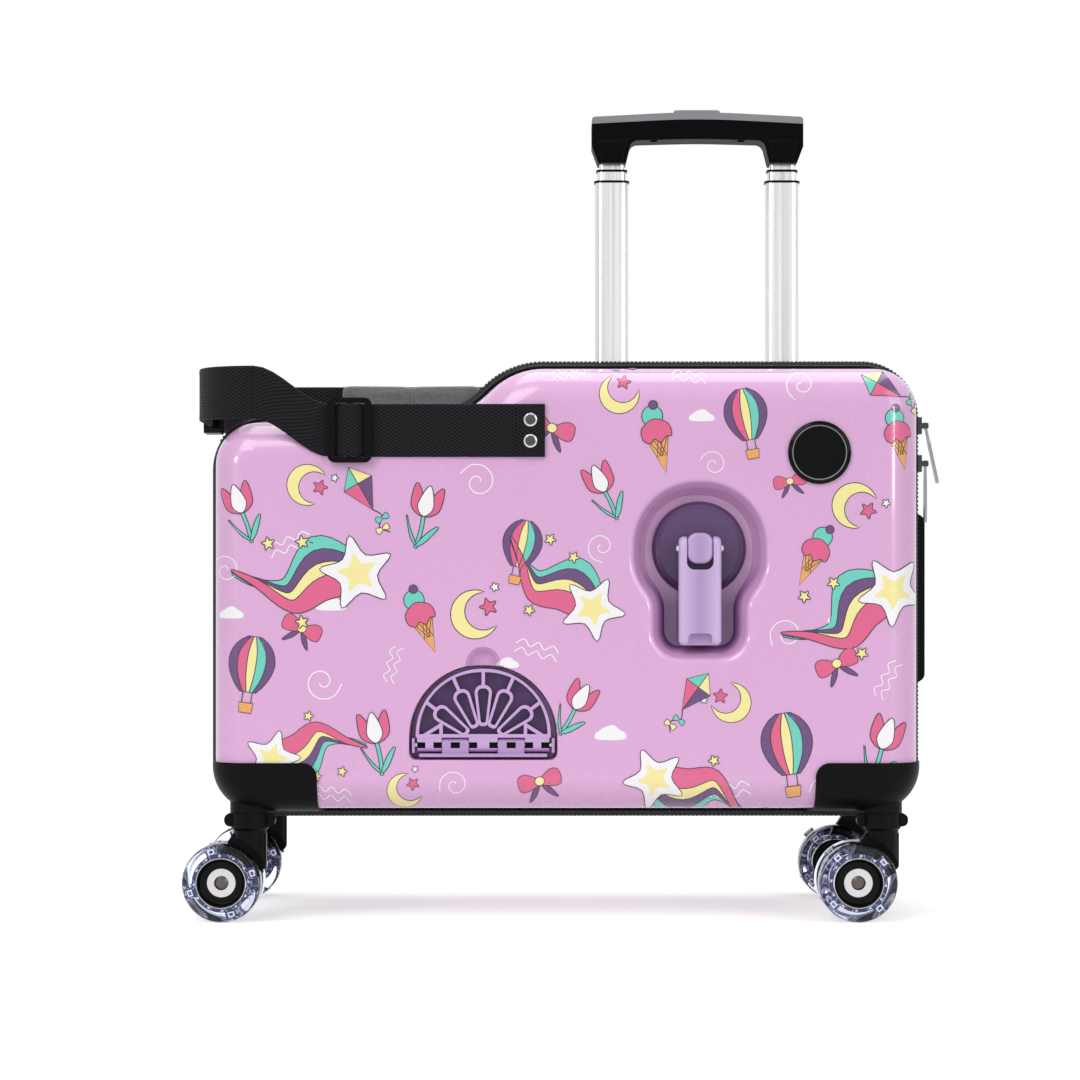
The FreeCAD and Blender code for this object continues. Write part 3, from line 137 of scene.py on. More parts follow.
def add_node(tree: bpy.types.NodeTree, kind: str, settings: dict[str, object] | None = None,
             **inputs: object) -> bpy.types.Node:
    """Adds a node to a tree.

    Args:
        tree: The tree that takes it.
        kind: The node's type.
        settings: Properties of the node itself.
        inputs: Input sockets by name, an underscore standing for a space.

    Returns:
        The new node.
    """
    made = tree.nodes.new(kind)
    for name, value in (settings or {}).items():
        setattr(made, name, value)
    for name, value in inputs.items():
        feed(tree, made.inputs[name.replace("_", " ")], value)
    return made


class Shader:
    """A node material with one principled shader, built by adding nodes behind it."""

    def __init__(self, name: str) -> None:
        """Makes an empty material of that name with its shader and output.

        Args:
            name: The material's name.
        """
        self.material = bpy.data.materials.new(name)
        self.material.use_nodes = True
        self.tree = self.material.node_tree
        self.tree.nodes.clear()
        self.surface = self.node("BsdfPrincipled")
        self.node("OutputMaterial", Surface=self.surface.outputs["BSDF"])

    def node(self, kind: str, settings: dict[str, object] | None = None, **inputs: object) -> bpy.types.Node:
        """Adds a shader node, its kind given without the common prefix."""
        return add_node(self.tree, "ShaderNode" + kind, settings, **inputs)

    def set(self, **values: object) -> None:
        """Sets or links the shader's own sockets, an underscore standing for a space.

        Args:
            values: Socket names with a number, a colour or a node's output.
        """
        for name, value in values.items():
            feed(self.tree, self.surface.inputs[name.replace("_", " ")], value)

    def place(self, scale: Sequence[float] = (1, 1, 1), turn: Sequence[float] = (0, 0, 0),
              source: str = "Object") -> bpy.types.NodeSocket:
        """Coordinates of the piece, scaled and turned.

        Args:
            scale: Factor on each axis.
            turn: Turn about each axis in degrees.
            source: Output of the texture coordinate node.

        Returns:
            The mapped coordinates.
        """
        coordinates = self.node("TexCoord").outputs[source]
        radians = [math.radians(angle) for angle in turn]
        return self.node("Mapping", Vector=coordinates, Scale=scale, Rotation=radians).outputs["Vector"]

    def noise(self, place: bpy.types.NodeSocket, scale: float, detail: float = 3.0) -> bpy.types.NodeSocket:
        """Noise of that scale over a place."""
        return self.node("TexNoise", Vector=place, Scale=scale, Detail=detail).outputs["Fac"]

    def ribs(self, angles: Sequence[Sequence[float]], pitch: float, distortion: float,
             source: str = "Object") -> list[bpy.types.NodeSocket]:
        """Fields of even ribs, one for each turn.

        Args:
            angles: Each field's turn about the axes in degrees.
            pitch: Distance from one rib to the next, in millimetres.
            distortion: How much the ribs waver.
            source: Output of the texture coordinate node.

        Returns:
            Each field's height.
        """
        scale = math.pi / 10 / (pitch * MM)
        return [self.node("TexWave", Vector=self.place((1, 1, 1), turn, source), Scale=scale,
                          Distortion=distortion).outputs["Fac"] for turn in angles]

    def math(self, kind: str, first: object, second: object = 0.0) -> bpy.types.NodeSocket:
        """A sum on one or two values, named as the Math node names it.

        Args:
            kind: The sum's name.
            first, second: Numbers or outputs of nodes.

        Returns:
            The sum's output.
        """
        made = self.node("Math", {"operation": kind})
        for socket, value in zip(made.inputs, (first, second)):
            feed(self.tree, socket, value)
        return made.outputs["Value"]

    def ramp(self, value: object, *stops: tuple[float, Sequence[float]]) -> bpy.types.NodeSocket:
        """A run of colour between two stops.

        Args:
            value: What drives it.
            stops: Two positions with their colours.

        Returns:
            The ramp's colour.
        """
        made = self.node("ValToRGB", Fac=value)
        for element, (position, colour) in zip(made.color_ramp.elements, stops):
            element.position = position
            element.color = colour
        return made.outputs["Color"]

    def span(self, value: object, low: float, high: float, given: Sequence[float] = (0.0, 1.0),
             **settings: object) -> bpy.types.NodeSocket:
        """Spreads a value from its given range to low..high.

        Args:
            value: What is spread.
            low, high: Ends of the result.
            given: Ends of the value's own range.
            settings: Properties of the node.

        Returns:
            The spread value.
        """
        return self.node("MapRange", settings, Value=value, From_Min=given[0], From_Max=given[1], To_Min=low,
                         To_Max=high).outputs["Result"]

    def bump(self, height: object, strength: float, distance: float) -> bpy.types.Material:
        """Adds relief to the shader's normal.

        Args:
            height: The relief's height.
            strength: Share of the relief that shows.
            distance: Its depth in metres.

        Returns:
            The finished material.
        """
        relief = self.node("Bump", Height=height, Strength=strength, Distance=distance)
        self.set(Normal=relief.outputs["Normal"])
        return self.material

    def grain(self, place: bpy.types.NodeSocket, strength: float,
              scale: float = 1800.0) -> bpy.types.Material:
        """Adds a fine even grain, and gives the finished material."""
        return self.bump(self.noise(place, scale, 2.0), strength, 0.0002)


def shaded(colour: Sequence[float], factor: float) -> tuple[float, ...]:
    """A colour made lighter or darker by a factor."""
    return tuple(min(1.0, value * factor) for value in colour[:3]) + (1.0,)


# Finishes
# Strength and scale of the film's faint ripple
FILM_RIPPLE = (0.006, 260.0)


@dataclass(frozen=True)
class Moulded:
    """Moulded plastic: a tone that wavers a little, a fine grain, and a sheen that is set by its gloss."""

    name: str
    colour: Tone
    roughness: float = 0.4
    grain: float = 0.1
    specular: float = 0.5
    patch_scale: float = 14.0
    wear_scale: float = 60.0

    def build(self) -> bpy.types.Material:
        """Makes the material.

        Returns:
            The material.
        """
        shader = Shader(self.name)
        place = shader.place()
        tone = linear(*self.colour)
        patches = shader.noise(place, self.patch_scale)
        base = shader.ramp(patches, (0.3, shaded(tone, 0.94)), (0.7, shaded(tone, 1.06)))
        wear = shader.noise(place, self.wear_scale)
        rough = shader.span(wear, self.roughness * 0.85, self.roughness * 1.15)
        shader.set(Base_Color=base, Roughness=rough, Specular_IOR_Level=self.specular)
        return shader.grain(place, self.grain)


@dataclass(frozen=True)
class PaintedLightRamp:
    """Moulded plastic with painted light: its tone runs from a painted shaded one to a painted lit one with
    its distance from a plane.
    """

    name: str
    lit_tone: Tone
    shaded_tone: Tone
    floor: float
    crest: float
    roughness: float = 0.38
    axis: str = "Y"
    origin: float = 0.0
    grain: float = 0.08

    def build(self) -> bpy.types.Material:
        """Makes the material.

        Returns:
            The material.
        """
        shader = Shader(self.name)
        place = shader.place()
        along = shader.node("SeparateXYZ", Vector=place).outputs[self.axis]
        depth = shader.math("ABSOLUTE", shader.math("SUBTRACT", along, self.origin * MM))
        high = shader.span(depth, 0.0, 1.0, (self.floor * MM, self.crest * MM))
        # Painted light and shade: the shaded tone near the plane, the lit tone away from it.
        base = shader.ramp(high, (0.0, linear(*self.shaded_tone)), (1.0, linear(*self.lit_tone)))
        shader.set(Base_Color=base, Roughness=self.roughness)
        return shader.grain(place, self.grain)


@dataclass(frozen=True)
class Film:
    """Glossy printed film over the hard shell, its tone drifting a little."""

    name: str
    colour: Tone
    drift_scale: float = 9.0
    haze_scale: float = 90.0

    def build(self) -> bpy.types.Material:
        """Makes the material.

        Returns:
            The material.
        """
        shader = Shader(self.name)
        place = shader.place()
        tone = linear(*self.colour)
        drift = shader.noise(place, self.drift_scale, 2.0)
        base = shader.ramp(drift, (0.25, shaded(tone, 0.985)), (0.75, shaded(tone, 1.015)))
        rough = shader.span(shader.noise(place, self.haze_scale), 0.24, 0.3)
        shader.set(Base_Color=base, Roughness=rough, Coat_Weight=0.7, Coat_Roughness=0.05)
        return shader.grain(place, *FILM_RIPPLE)


@dataclass(frozen=True)
class Hollow:
    """Glossy film in the hand grip's hollow, with painted shade that darkens it deep in the hollow and low in
    its neck.
    """

    name: str
    film: Tone
    shade: Tone
    depths: Flat = (88.6, 99.0)
    heights: Flat = (216.0, 246.0)
    neck_light: float = 0.8

    def build(self) -> bpy.types.Material:
        """Makes the material.

        Returns:
            The material.
        """
        shader = Shader(self.name)
        place = shader.place()
        axes = shader.node("SeparateXYZ", Vector=place).outputs
        depth = shader.math("ABSOLUTE", axes["Y"])
        out = shader.span(depth, 0.0, 1.0, [edge * MM for edge in self.depths])
        up = shader.span(axes["Z"], 0.0, self.neck_light, [edge * MM for edge in self.heights])
        # Painted shade: dark only where the face lies both deep in the hollow and low in its neck.
        light = shader.math("MAXIMUM", out, up)
        base = shader.ramp(light, (0.0, linear(*self.shade)), (1.0, linear(*self.film)))
        shader.set(Base_Color=base, Roughness=0.24, Coat_Weight=0.9, Coat_Roughness=0.05)
        return shader.grain(place, *FILM_RIPPLE)


@dataclass(frozen=True)
class Metal:
    """Drawn or turned metal with fine lines along one axis."""

    name: str
    colour: Tone
    roughness: float = 0.25
    lines: Triple = (900.0, 900.0, 12.0)
    contrast: float = 0.06

    def build(self) -> bpy.types.Material:
        """Makes the material.

        Returns:
            The material.
        """
        shader = Shader(self.name)
        streaks = shader.noise(shader.place(self.lines), 1.0, 2.0)
        rough = shader.span(streaks, self.roughness * 0.8, self.roughness * 1.3)
        tone = linear(*self.colour)
        base = shader.ramp(streaks, (0.3, shaded(tone, 1 - self.contrast)), (0.7, shaded(tone, 1.04)))
        shader.set(Base_Color=base, Metallic=1.0, Roughness=rough)
        return shader.bump(streaks, 0.05, 0.0001)


@dataclass(frozen=True)
class Woven:
    """Webbing: slanted ribs that cross, laid out on the strap's own map in metres, with a painted sheen that
    makes the ribs' tops far lighter than the grooves.
    """

    name: str
    colour: Tone
    rib: float = 2.1
    slant: float = 58.0
    roughness: float = 0.55
    yarn_scale: float = 2400.0

    def build(self) -> bpy.types.Material:
        """Makes the material.

        Returns:
            The material.
        """
        shader = Shader(self.name)
        tone = linear(*self.colour)
        fields = shader.ribs([(0, 0, self.slant), (0, 0, -self.slant)], self.rib, 0.0, "UV")
        weave = shader.math("MAXIMUM", *fields)
        yarn = shader.noise(shader.place(source="UV"), self.yarn_scale, 2.0)
        height = shader.math("ADD", weave, shader.math("MULTIPLY", yarn, 0.35))
        # Partly the weave's own relief, partly a painted sheen on the threads: rib tops six times the tone,
        # grooves three tenths of it.
        base = shader.ramp(weave, (0.3, shaded(tone, 0.3)), (0.95, shaded(tone, 6.0)))
        shader.set(Base_Color=base, Roughness=self.roughness, Specular_IOR_Level=0.08, Sheen_Weight=0.05,
                   Sheen_Roughness=0.4)
        return shader.bump(height, 0.85, 0.0008)


@dataclass(frozen=True)
class Mesh3d:
    """Spacer mesh cloth: a field of small round openings, coloured darker in their middles."""

    name: str
    colour: Tone
    hole: float = 1.5
    fuzz_scale: float = 3000.0

    def build(self) -> bpy.types.Material:
        """Makes the material.

        Returns:
            The material.
        """
        shader = Shader(self.name)
        place = shader.place()
        cells = shader.node("TexVoronoi", {"feature": "F1"}, Vector=place, Scale=1 / (self.hole * MM),
                            Randomness=0.35).outputs["Distance"]
        tone = linear(*self.colour)
        base = shader.ramp(cells, (0.18, shaded(tone, 0.5)), (0.42, shaded(tone, 1.12)))
        fuzz = shader.noise(place, self.fuzz_scale, 2.0)
        height = shader.math("ADD", cells, shader.math("MULTIPLY", fuzz, 0.2))
        shader.set(Base_Color=base, Roughness=0.85, Sheen_Weight=0.35, Sheen_Roughness=0.5)
        return shader.bump(height, 0.8, 0.0008)


@dataclass(frozen=True)
class Tape:
    """Close-woven tape and lining cloth, on the piece's own coordinates."""

    name: str
    colour: Tone
    thread: float = 0.8
    roughness: float = 0.75
    fuzz_scale: float = 1500.0

    def build(self) -> bpy.types.Material:
        """Makes the material.

        Returns:
            The material.
        """
        shader = Shader(self.name)
        tone = linear(*self.colour)
        weave = shader.math("MULTIPLY", *shader.ribs([(0, 45, 45), (45, 0, -45)], self.thread, 0.3))
        base = shader.ramp(weave, (0.0, shaded(tone, 0.7)), (0.8, shaded(tone, 1.25)))
        shader.set(Base_Color=base, Roughness=self.roughness, Specular_IOR_Level=0.15)
        fuzz = shader.noise(shader.place(), self.fuzz_scale)
        height = shader.math("ADD", weave, shader.math("MULTIPLY", fuzz, 0.3))
        return shader.bump(height, 0.4, 0.0003)


@dataclass(frozen=True)
class ClearCast:
    """Clear cast plastic of the wheels, with faint flow marks."""

    name: str
    colour: Tone
    roughness: float = 0.03
    bend: float = 1.14
    flow_scale: float = 120.0

    def build(self) -> bpy.types.Material:
        """Makes the material.

        Returns:
            The material.
        """
        shader = Shader(self.name)
        flow = shader.noise(shader.place(), self.flow_scale)
        shader.set(Base_Color=linear(*self.colour), Roughness=self.roughness, IOR=self.bend,
                   Transmission_Weight=1.0, Coat_Weight=0.3)
        return shader.bump(flow, 0.06, 0.0005)


@dataclass(frozen=True)
class Circuit:
    """Dark blue circuit ring with pale tracks."""

    name: str
    board: Tone
    track: Tone
    cell_scale: float = 170.0
    track_share: float = 0.035

    def build(self) -> bpy.types.Material:
        """Makes the material.

        Returns:
            The material.
        """
        shader = Shader(self.name)
        cells = shader.node("TexVoronoi", {"feature": "DISTANCE_TO_EDGE"}, Vector=shader.place(),
                            Scale=self.cell_scale)
        lines = shader.math("LESS_THAN", cells.outputs["Distance"], self.track_share)
        base = shader.ramp(lines, (0.0, linear(*self.board)), (1.0, linear(*self.track)))
        shader.set(Base_Color=base, Roughness=0.35)
        return shader.bump(lines, 0.3, 0.0001)


class Finishes:
    """All finishes of the object, each made once."""

    def __init__(self) -> None:
        """Makes every material."""
        self.shell = Film("lavender_film", (221, 170, 215)).build()
        self.lining = Tape("lining_cloth", (150, 140, 158), 1.2).build()
        self.inks = {ink: Film(f"ink_{ink.name.lower()}", ink.value).build() for ink in Ink}
        self.zip_band = Tape("zip_band_cloth", (15, 15, 17), 0.9, 0.6).build()
        self.zip_metal = Metal("zip_black_metal", (70, 70, 74), 0.3).build()
        self.pull_metal = Metal("zip_pull_metal", (150, 150, 154), 0.28).build()
        self.black = Moulded("black_moulding", (7, 7, 9), 0.42, 0.12, specular=0.08).build()
        self.pull_black = Moulded("pull_grip_black", (5, 5, 7), 0.46, 0.03, specular=0.04).build()
        # Dead black without sheen: painted shade for the screw recesses under the pull grip's bar.
        self.screw_recess_shade = Moulded("screw_recess_painted_shade", (3, 3, 4), 0.9, 0.02, specular=0.0).build()
        self.black_gloss = Moulded("black_gloss_moulding", (7, 7, 9), 0.22, 0.02, specular=0.1).build()
        self.badge = Moulded("badge_dome", (6, 6, 8), 0.12, 0.01, specular=0.1).build()
        self.cap = Moulded("grip_cap_grey", (134, 135, 138), 0.36, 0.06).build()
        self.tube = Metal("drawn_tube", (236, 237, 239), 0.22, (330.0, 330.0, 1.5), 0.3).build()
        self.eyelet_core = Moulded("eyelet_core", (62, 62, 66), 0.4, 0.05).build()
        # The hollow's film: the shell's tone with a dark purple of painted shade.
        self.recess = Hollow("recess_film_painted_shade", (221, 170, 215), (112, 72, 126)).build()
        self.steel = Metal("rivet_steel", (196, 196, 198), 0.22, (200.0, 200.0, 200.0)).build()
        self.bolt = Metal("axle_bolt", (92, 86, 82), 0.2, (200.0, 200.0, 200.0)).build()
        self.webbing = Woven("belt_webbing", (10, 10, 12)).build()
        self.thread = Tape("black_thread", (34, 34, 36), 0.3).build()
        self.pad = Mesh3d("pad_spacer_mesh", (98, 101, 99)).build()
        # The disc's dark purple is its own; its lighter top is painted light.
        self.disc = PaintedLightRamp("disc_dark_purple_painted_light", (92, 68, 110), (58, 34, 76), 226.0, 284.0, 0.3, "Z").build()
        # The grip's light purple is its own; darker along its middle and lighter towards its sides is painted
        # shading of a rounded face.
        self.grip = PaintedLightRamp("grip_light_purple_painted_light", (204, 180, 220), (178, 150, 198), 1.0, 11.0, 0.34, "X",
                            91.0).build()
        # Painted light and shade on the pedal: its rib tops lighter and the floor between its ribs darker.
        self.pedal = PaintedLightRamp("pedal_painted_light", (202, 166, 216), (74, 44, 96), 98.2, 103.6).build()
        self.frame = Moulded("frame_purple", (182, 148, 200), 0.36, 0.05).build()
        self.tyre = ClearCast("clear_tyre", (246, 248, 255)).build()
        self.circuit = Circuit("circuit_ring", (34, 40, 84), (150, 158, 190)).build()
        self.lamp = Moulded("lamp_block", (222, 226, 236), 0.2, 0.02).build()


# Flat shapes of the print
def turns(count: int) -> list[float]:
    """Even angles round a circle, in radians."""
    return [2 * math.pi * k / count for k in range(count)]


def passed(a: float, b: float, c: float, d: float, share: float) -> float:
    """A value on the smooth run from b to c, with a before them and d after."""
    return 0.5 * (2 * b + (c - a) * share + (2 * a - 5 * b + 4 * c - d) * share ** 2
                  + (3 * b - a - 3 * c + d) * share ** 3)


def smooth(points: Sequence[Flat], steps: int = 5, closed: bool = True) -> list[Flat]:
    """Rounds a line off through its points.

    Args:
        points: Points that the curve passes.
        steps: Points on the curve for each span.
        closed: Whether the last point runs on to the first.

    Returns:
        The curve's points.
    """
    count = len(points)
    spans = count if closed else count - 1

    def pick(index: int) -> Flat:
        """A point past either end."""
        return points[index % count] if closed else points[min(max(index, 0), count - 1)]

    curve = []
    for span in range(spans):
        a, b, c, d = (pick(span + k) for k in (-1, 0, 1, 2))
        for step in range(steps):
            curve.append(tuple(passed(a[k], b[k], c[k], d[k], step / steps) for k in (0, 1)))
    return curve if closed else curve + [points[-1]]


def ring(x: float, y: float, radius: float, count: int = 28, squash: float = 1.0) -> list[Flat]:
    """Points of a circle, or of an ellipse when it is squashed."""
    return [(x + radius * math.cos(a), y + squash * radius * math.sin(a)) for a in turns(count)]


def aside(before: Flat, after: Flat) -> Flat:
    """A unit step to the right of the way from one point to another.

    Args:
        before: The first point.
        after: The second point.

    Returns:
        The step, of length 1.
    """
    dx, dy = after[0] - before[0], after[1] - before[1]
    length = math.hypot(dx, dy) or 1.0
    return dy / length, -dx / length


def band(points: Sequence[Flat], width: Callable[[float], float], steps: int = 6) -> list[Flat]:
    """A ribbon along a smooth line.

    Args:
        points: Points of its middle line.
        width: Half width at each share of the way.
        steps: Points on the curve for each span.

    Returns:
        The ribbon's outline.
    """
    line = smooth(points, steps, False)
    last = len(line) - 1
    left, right = [], []
    for index, (x, y) in enumerate(line):
        step = aside(line[max(index - 1, 0)], line[min(index + 1, last)])
        half = width(index / last)
        left.append((x - step[0] * half, y - step[1] * half))
        right.append((x + step[0] * half, y + step[1] * half))
    return left + right[::-1]


def area(shape: Sequence[Flat]) -> float:
    """Signed area of an outline."""
    return sum(a[0] * b[1] - b[0] * a[1] for a, b in zip(shape, list(shape[1:]) + [shape[0]])) / 2


def grown(shape: Sequence[Flat], margin: float) -> list[Flat]:
    """An outline moved outwards all round.

    Args:
        shape: The outline.
        margin: How far it moves.

    Returns:
        The moved outline.
    """
    reach = margin if area(shape) > 0 else -margin
    moved = []
    for index, (x, y) in enumerate(shape):
        step = aside(shape[index - 1], shape[(index + 1) % len(shape)])
        moved.append((x + step[0] * reach, y + step[1] * reach))
    return moved


@dataclass
class Motif:
    """One printed figure: outlines with their inks, the later over the earlier."""

    layers: list[tuple[list[Flat], Ink]] = field(default_factory=list)
    stroke: float = 0.75

    def fill(self, shape: list[Flat], ink: Ink, outlined: bool = True) -> "Motif":
        """Adds a filled shape, with a dark line round it if asked.

        Args:
            shape: The outline.
            ink: Its ink.
            outlined: Whether a dark line goes round it.

        Returns:
            This figure.
        """
        if outlined:
            self.layers.append((grown(shape, self.stroke), Ink.BLACK))
        self.layers.append((shape, ink))
        return self

    def pair(self, points: Sequence[Flat], steps: int, ink: Ink, middle: float = 0.0) -> "Motif":
        """Adds a rounded shape and its mirror image across an upright line.

        Args:
            points: Points that the shape's edge passes.
            steps: Points on the edge for each span.
            ink: Its ink.
            middle: Place of the upright line.

        Returns:
            This figure.
        """
        for side in (1, -1):
            self.fill(smooth([(middle + side * (x - middle), y) for x, y in points], steps), ink)
        return self

    def line(self, points: Sequence[Flat], width: float, ink: Ink) -> "Motif":
        """Adds a drawn line of even width."""
        self.layers.append((band(points, lambda share: width / 2), ink))
        return self


def taper(full: float) -> Callable[[float], float]:
    """Half width of a ribbon that narrows to its tail.

    Args:
        full: The ribbon's greatest half width.

    Returns:
        The half width for each share of the way.
    """
    def half(share: float) -> float:
        """The half width at a share of the way."""
        swell = 0.5 + 0.5 * math.sin(math.pi * min(1.0, share * 1.4 + 0.25))
        return full * swell * (1.02 - share ** 3)

    return half


def star_shape(radius: float, depth: float = 0.52, x: float = 0.0, y: float = 0.0) -> list[Flat]:
    """A star with soft tips.

    Args:
        radius: Reach of the tips.
        depth: Share of that reach at the notches.
        x, y: The star's middle.

    Returns:
        The star's outline.
    """
    corners = []
    for k in range(10):
        reach = radius if k % 2 == 0 else radius * depth
        angle = math.pi / 2 + k * math.pi / 5
        corners.append((x + reach * math.cos(angle), y + reach * math.sin(angle)))
    return smooth(corners, 4)


def comet() -> Motif:
    """A star with a waving tail of ribbons.

    Returns:
        The figure.
    """
    motif = Motif()
    tails = ((Ink.TEAL, 20, -16, -6), (Ink.PURPLE, 10, -8, 2), (Ink.YELLOW, 0, 0, 8), (Ink.PINK, -10, 8, 15))
    for ink, lift, sag, end in tails:
        line = [(-4, lift * 0.5), (-26, lift + 4), (-50, lift * 0.9 + sag * 0.4 - 8), (-72, lift * 0.7 + end),
                (-88, lift * 0.6 + end + 12)]
        motif.fill(band(line, taper(8.2)), ink)
    motif.fill(star_shape(27), Ink.WHITE)
    motif.fill(star_shape(14.5), Ink.YELLOW, False)
    for x, y in ((-34, 30), (-58, 34), (-46, -26)):
        motif.fill(star_shape(4.6, 0.45, x, y), Ink.YELLOW)
    return motif


def balloon() -> Motif:
    """A striped balloon with a basket.

    Returns:
        The figure.
    """
    motif = Motif()

    def edge(share: float) -> list[Flat]:
        """One side of a stripe, from the crown to the mouth.

        Args:
            share: The line's place across the balloon, from -1 to 1.

        Returns:
            The line's points.
        """
        side = []
        for k in range(13):
            t = k / 12
            height = 24 - 48 * t
            swell = math.sin(math.pi * (0.06 + 0.86 * t ** 0.85)) ** 0.75
            side.append((share * 20 * swell, height))
        return side

    motif.fill(edge(-1) + edge(1)[::-1], Ink.WHITE)
    for start, end, ink in ((-1, -0.62, Ink.PURPLE), (-0.62, -0.2, Ink.PINK), (-0.2, 0.2, Ink.YELLOW),
                            (0.2, 0.62, Ink.TEAL), (0.62, 1, Ink.PURPLE)):
        motif.fill(edge(start) + edge(end)[::-1], ink, False)
    for share in (-0.62, -0.2, 0.2, 0.62):
        motif.line(edge(share)[::3], 0.7, Ink.BLACK)
    motif.line([(-4, -24), (-4, -34)], 0.7, Ink.BLACK).line([(4, -24), (4, -34)], 0.7, Ink.BLACK)
    return motif.fill([(-5, -42), (5, -42), (6, -34), (-6, -34)], Ink.ORANGE)


def tulip() -> Motif:
    """A tulip with two leaves.

    Returns:
        The figure.
    """
    motif = Motif()
    motif.fill(band([(0, -4), (1, -18), (0, -32)], lambda share: 1.1), Ink.TEAL)
    motif.fill(smooth([(0, -30), (-6, -24), (-13, -8), (-8, -18)], 4), Ink.TEAL)
    motif.fill(smooth([(0, -30), (6, -26), (14, -12), (7, -18)], 4), Ink.TEAL)
    motif.pair([(0, -6), (-11, 0), (-11, 18), (-4, 9)], 5, Ink.PINK)
    return motif.fill(smooth([(0, -6), (6, 2), (0, 18), (-6, 2)], 5), Ink.WHITE)


def moon() -> Motif:
    """A crescent with a small star.

    Returns:
        The figure.
    """
    motif = Motif()
    radius, bite, shift = 19.0, 15.2, 7.0
    tip_x = (radius ** 2 - bite ** 2 + shift ** 2) / (2 * shift)
    tip_y = math.sqrt(radius ** 2 - tip_x ** 2)
    first, last = math.atan2(tip_y, tip_x), math.atan2(tip_y, tip_x - shift)
    outer = [(radius * math.cos(a), radius * math.sin(a))
             for a in (first + (2 * math.pi - 2 * first) * k / 24 for k in range(25))]
    inner = [(shift + bite * math.cos(a), bite * math.sin(a))
             for a in (2 * math.pi - last - (2 * math.pi - 2 * last) * k / 20 for k in range(1, 20))]
    motif.fill(outer + inner, Ink.YELLOW)
    motif.fill(star_shape(7, 0.48, 12, 2), Ink.PINK)
    return motif.fill(star_shape(3.6, 0.48, 22, 15), Ink.WHITE)


def cone() -> Motif:
    """An ice-cream cone.

    Returns:
        The figure.
    """
    motif = Motif()
    motif.fill([(-9, 0), (0, -30), (9, 0)], Ink.ORANGE)
    for k in (-1, 0, 1):
        motif.line([(4 * k - 4, -1), (2 * k + 2, -16)], 0.6, Ink.BLACK)
        motif.line([(4 * k + 4, -1), (2 * k - 2, -16)], 0.6, Ink.BLACK)
    motif.fill(ring(0, 19, 8.5), Ink.TEAL)
    scoop = smooth([(-12, 1), (-7, -3), (-3, 0), (2, -4), (7, 0), (12, 0), (11, 10), (0, 16), (-11, 10)], 5)
    motif.fill(scoop, Ink.PINK)
    return motif.fill(ring(3, 28, 3.4, 16), Ink.PURPLE)


def bow() -> Motif:
    """A tied bow.

    Returns:
        The figure.
    """
    motif = Motif()
    motif.pair([(0, 0), (-6, -12), (-15, -19), (-9, -8)], 4, Ink.PURPLE)
    motif.pair([(0, 0), (-12, 10), (-21, 8), (-21, -5), (-11, -6)], 5, Ink.PINK)
    return motif.fill(ring(0, 1, 4.6, 20, 0.9), Ink.YELLOW)


def kite() -> Motif:
    """A four-panel kite with a tail.

    Returns:
        The figure.
    """
    motif = Motif()
    top, right, bottom, left, middle = (0, 24), (16, 5), (0, -26), (-16, 5), (0, 5)
    motif.line([bottom, (5, -36), (-3, -45), (4, -55)], 1.2, Ink.BLACK)
    for y, x, ink in ((-38, 4, Ink.TEAL), (-48, -1, Ink.YELLOW)):
        motif.pair([(x, y), (x - 6, y + 3), (x - 6, y - 3)], 4, ink, x)
    motif.fill([top, left, bottom, right], Ink.WHITE)
    motif.fill([top, left, middle], Ink.TEAL, False).fill([top, middle, right], Ink.YELLOW, False)
    motif.fill([left, bottom, middle], Ink.PINK, False).fill([middle, bottom, right], Ink.PURPLE, False)
    return motif.line([left, right], 0.8, Ink.BLACK).line([top, bottom], 0.8, Ink.BLACK)


def swirl() -> Motif:
    """A spiral in a thin white line."""
    points = [((3 + 2.0 * k) * math.cos(0.75 * k), (3 + 2.0 * k) * math.sin(0.75 * k)) for k in range(13)]
    return Motif().line(points, 1.7, Ink.WHITE)


def ripple() -> Motif:
    """Two waving white lines.

    Returns:
        The figure.
    """
    motif = Motif()
    for lift in (6, -6):
        motif.line([(10 * k - 30, lift + (4 if k % 2 else -4)) for k in range(7)], 1.6, Ink.WHITE)
    return motif


def cloud() -> Motif:
    """A small white cloud."""
    edge = [(-14, -5), (14, -5), (17, 1), (10, 6), (3, 11), (-6, 9), (-12, 5), (-17, 1)]
    return Motif().fill(smooth(edge, 5), Ink.WHITE, False)


class Figure(Enum):
    """Figures of the print."""

    COMET = auto()
    BALLOON = auto()
    TULIP = auto()
    MOON = auto()
    CONE = auto()
    BOW = auto()
    KITE = auto()
    SWIRL = auto()
    RIPPLE = auto()
    CLOUD = auto()


DRAW: dict[Figure, Callable[[], Motif]] = dict(zip(
    Figure, (comet, balloon, tulip, moon, cone, bow, kite, swirl, ripple, cloud)))
Placed = tuple[Figure, Spot]


# Mesh helpers
def new_object(name: str, mesh: bpy.types.Mesh) -> bpy.types.Object:
    """Puts a mesh into the scene as an object at the origin.

    Args:
        name: The object's name.
        mesh: Its mesh.

    Returns:
        The new object.
    """
    made = bpy.data.objects.new(name, mesh)
    bpy.context.scene.collection.objects.link(made)
    return made


def from_bmesh(name: str, work: bmesh.types.BMesh, materials: Iterable[bpy.types.Material],
               is_smooth: bool = True) -> bpy.types.Object:
    """Turns a finished edit mesh into an object.

    Args:
        name: The piece's name.
        work: The edit mesh, which is freed.
        materials: Its materials, in slot order.
        is_smooth: Whether its faces are shaded smooth.

    Returns:
        The new object.
    """
    mesh = bpy.data.meshes.new(name)
    work.to_mesh(mesh)
    work.free()
    for material in materials:
        mesh.materials.append(material)
    mesh.polygons.foreach_set("use_smooth", [is_smooth] * len(mesh.polygons))
    return new_object(name, mesh)


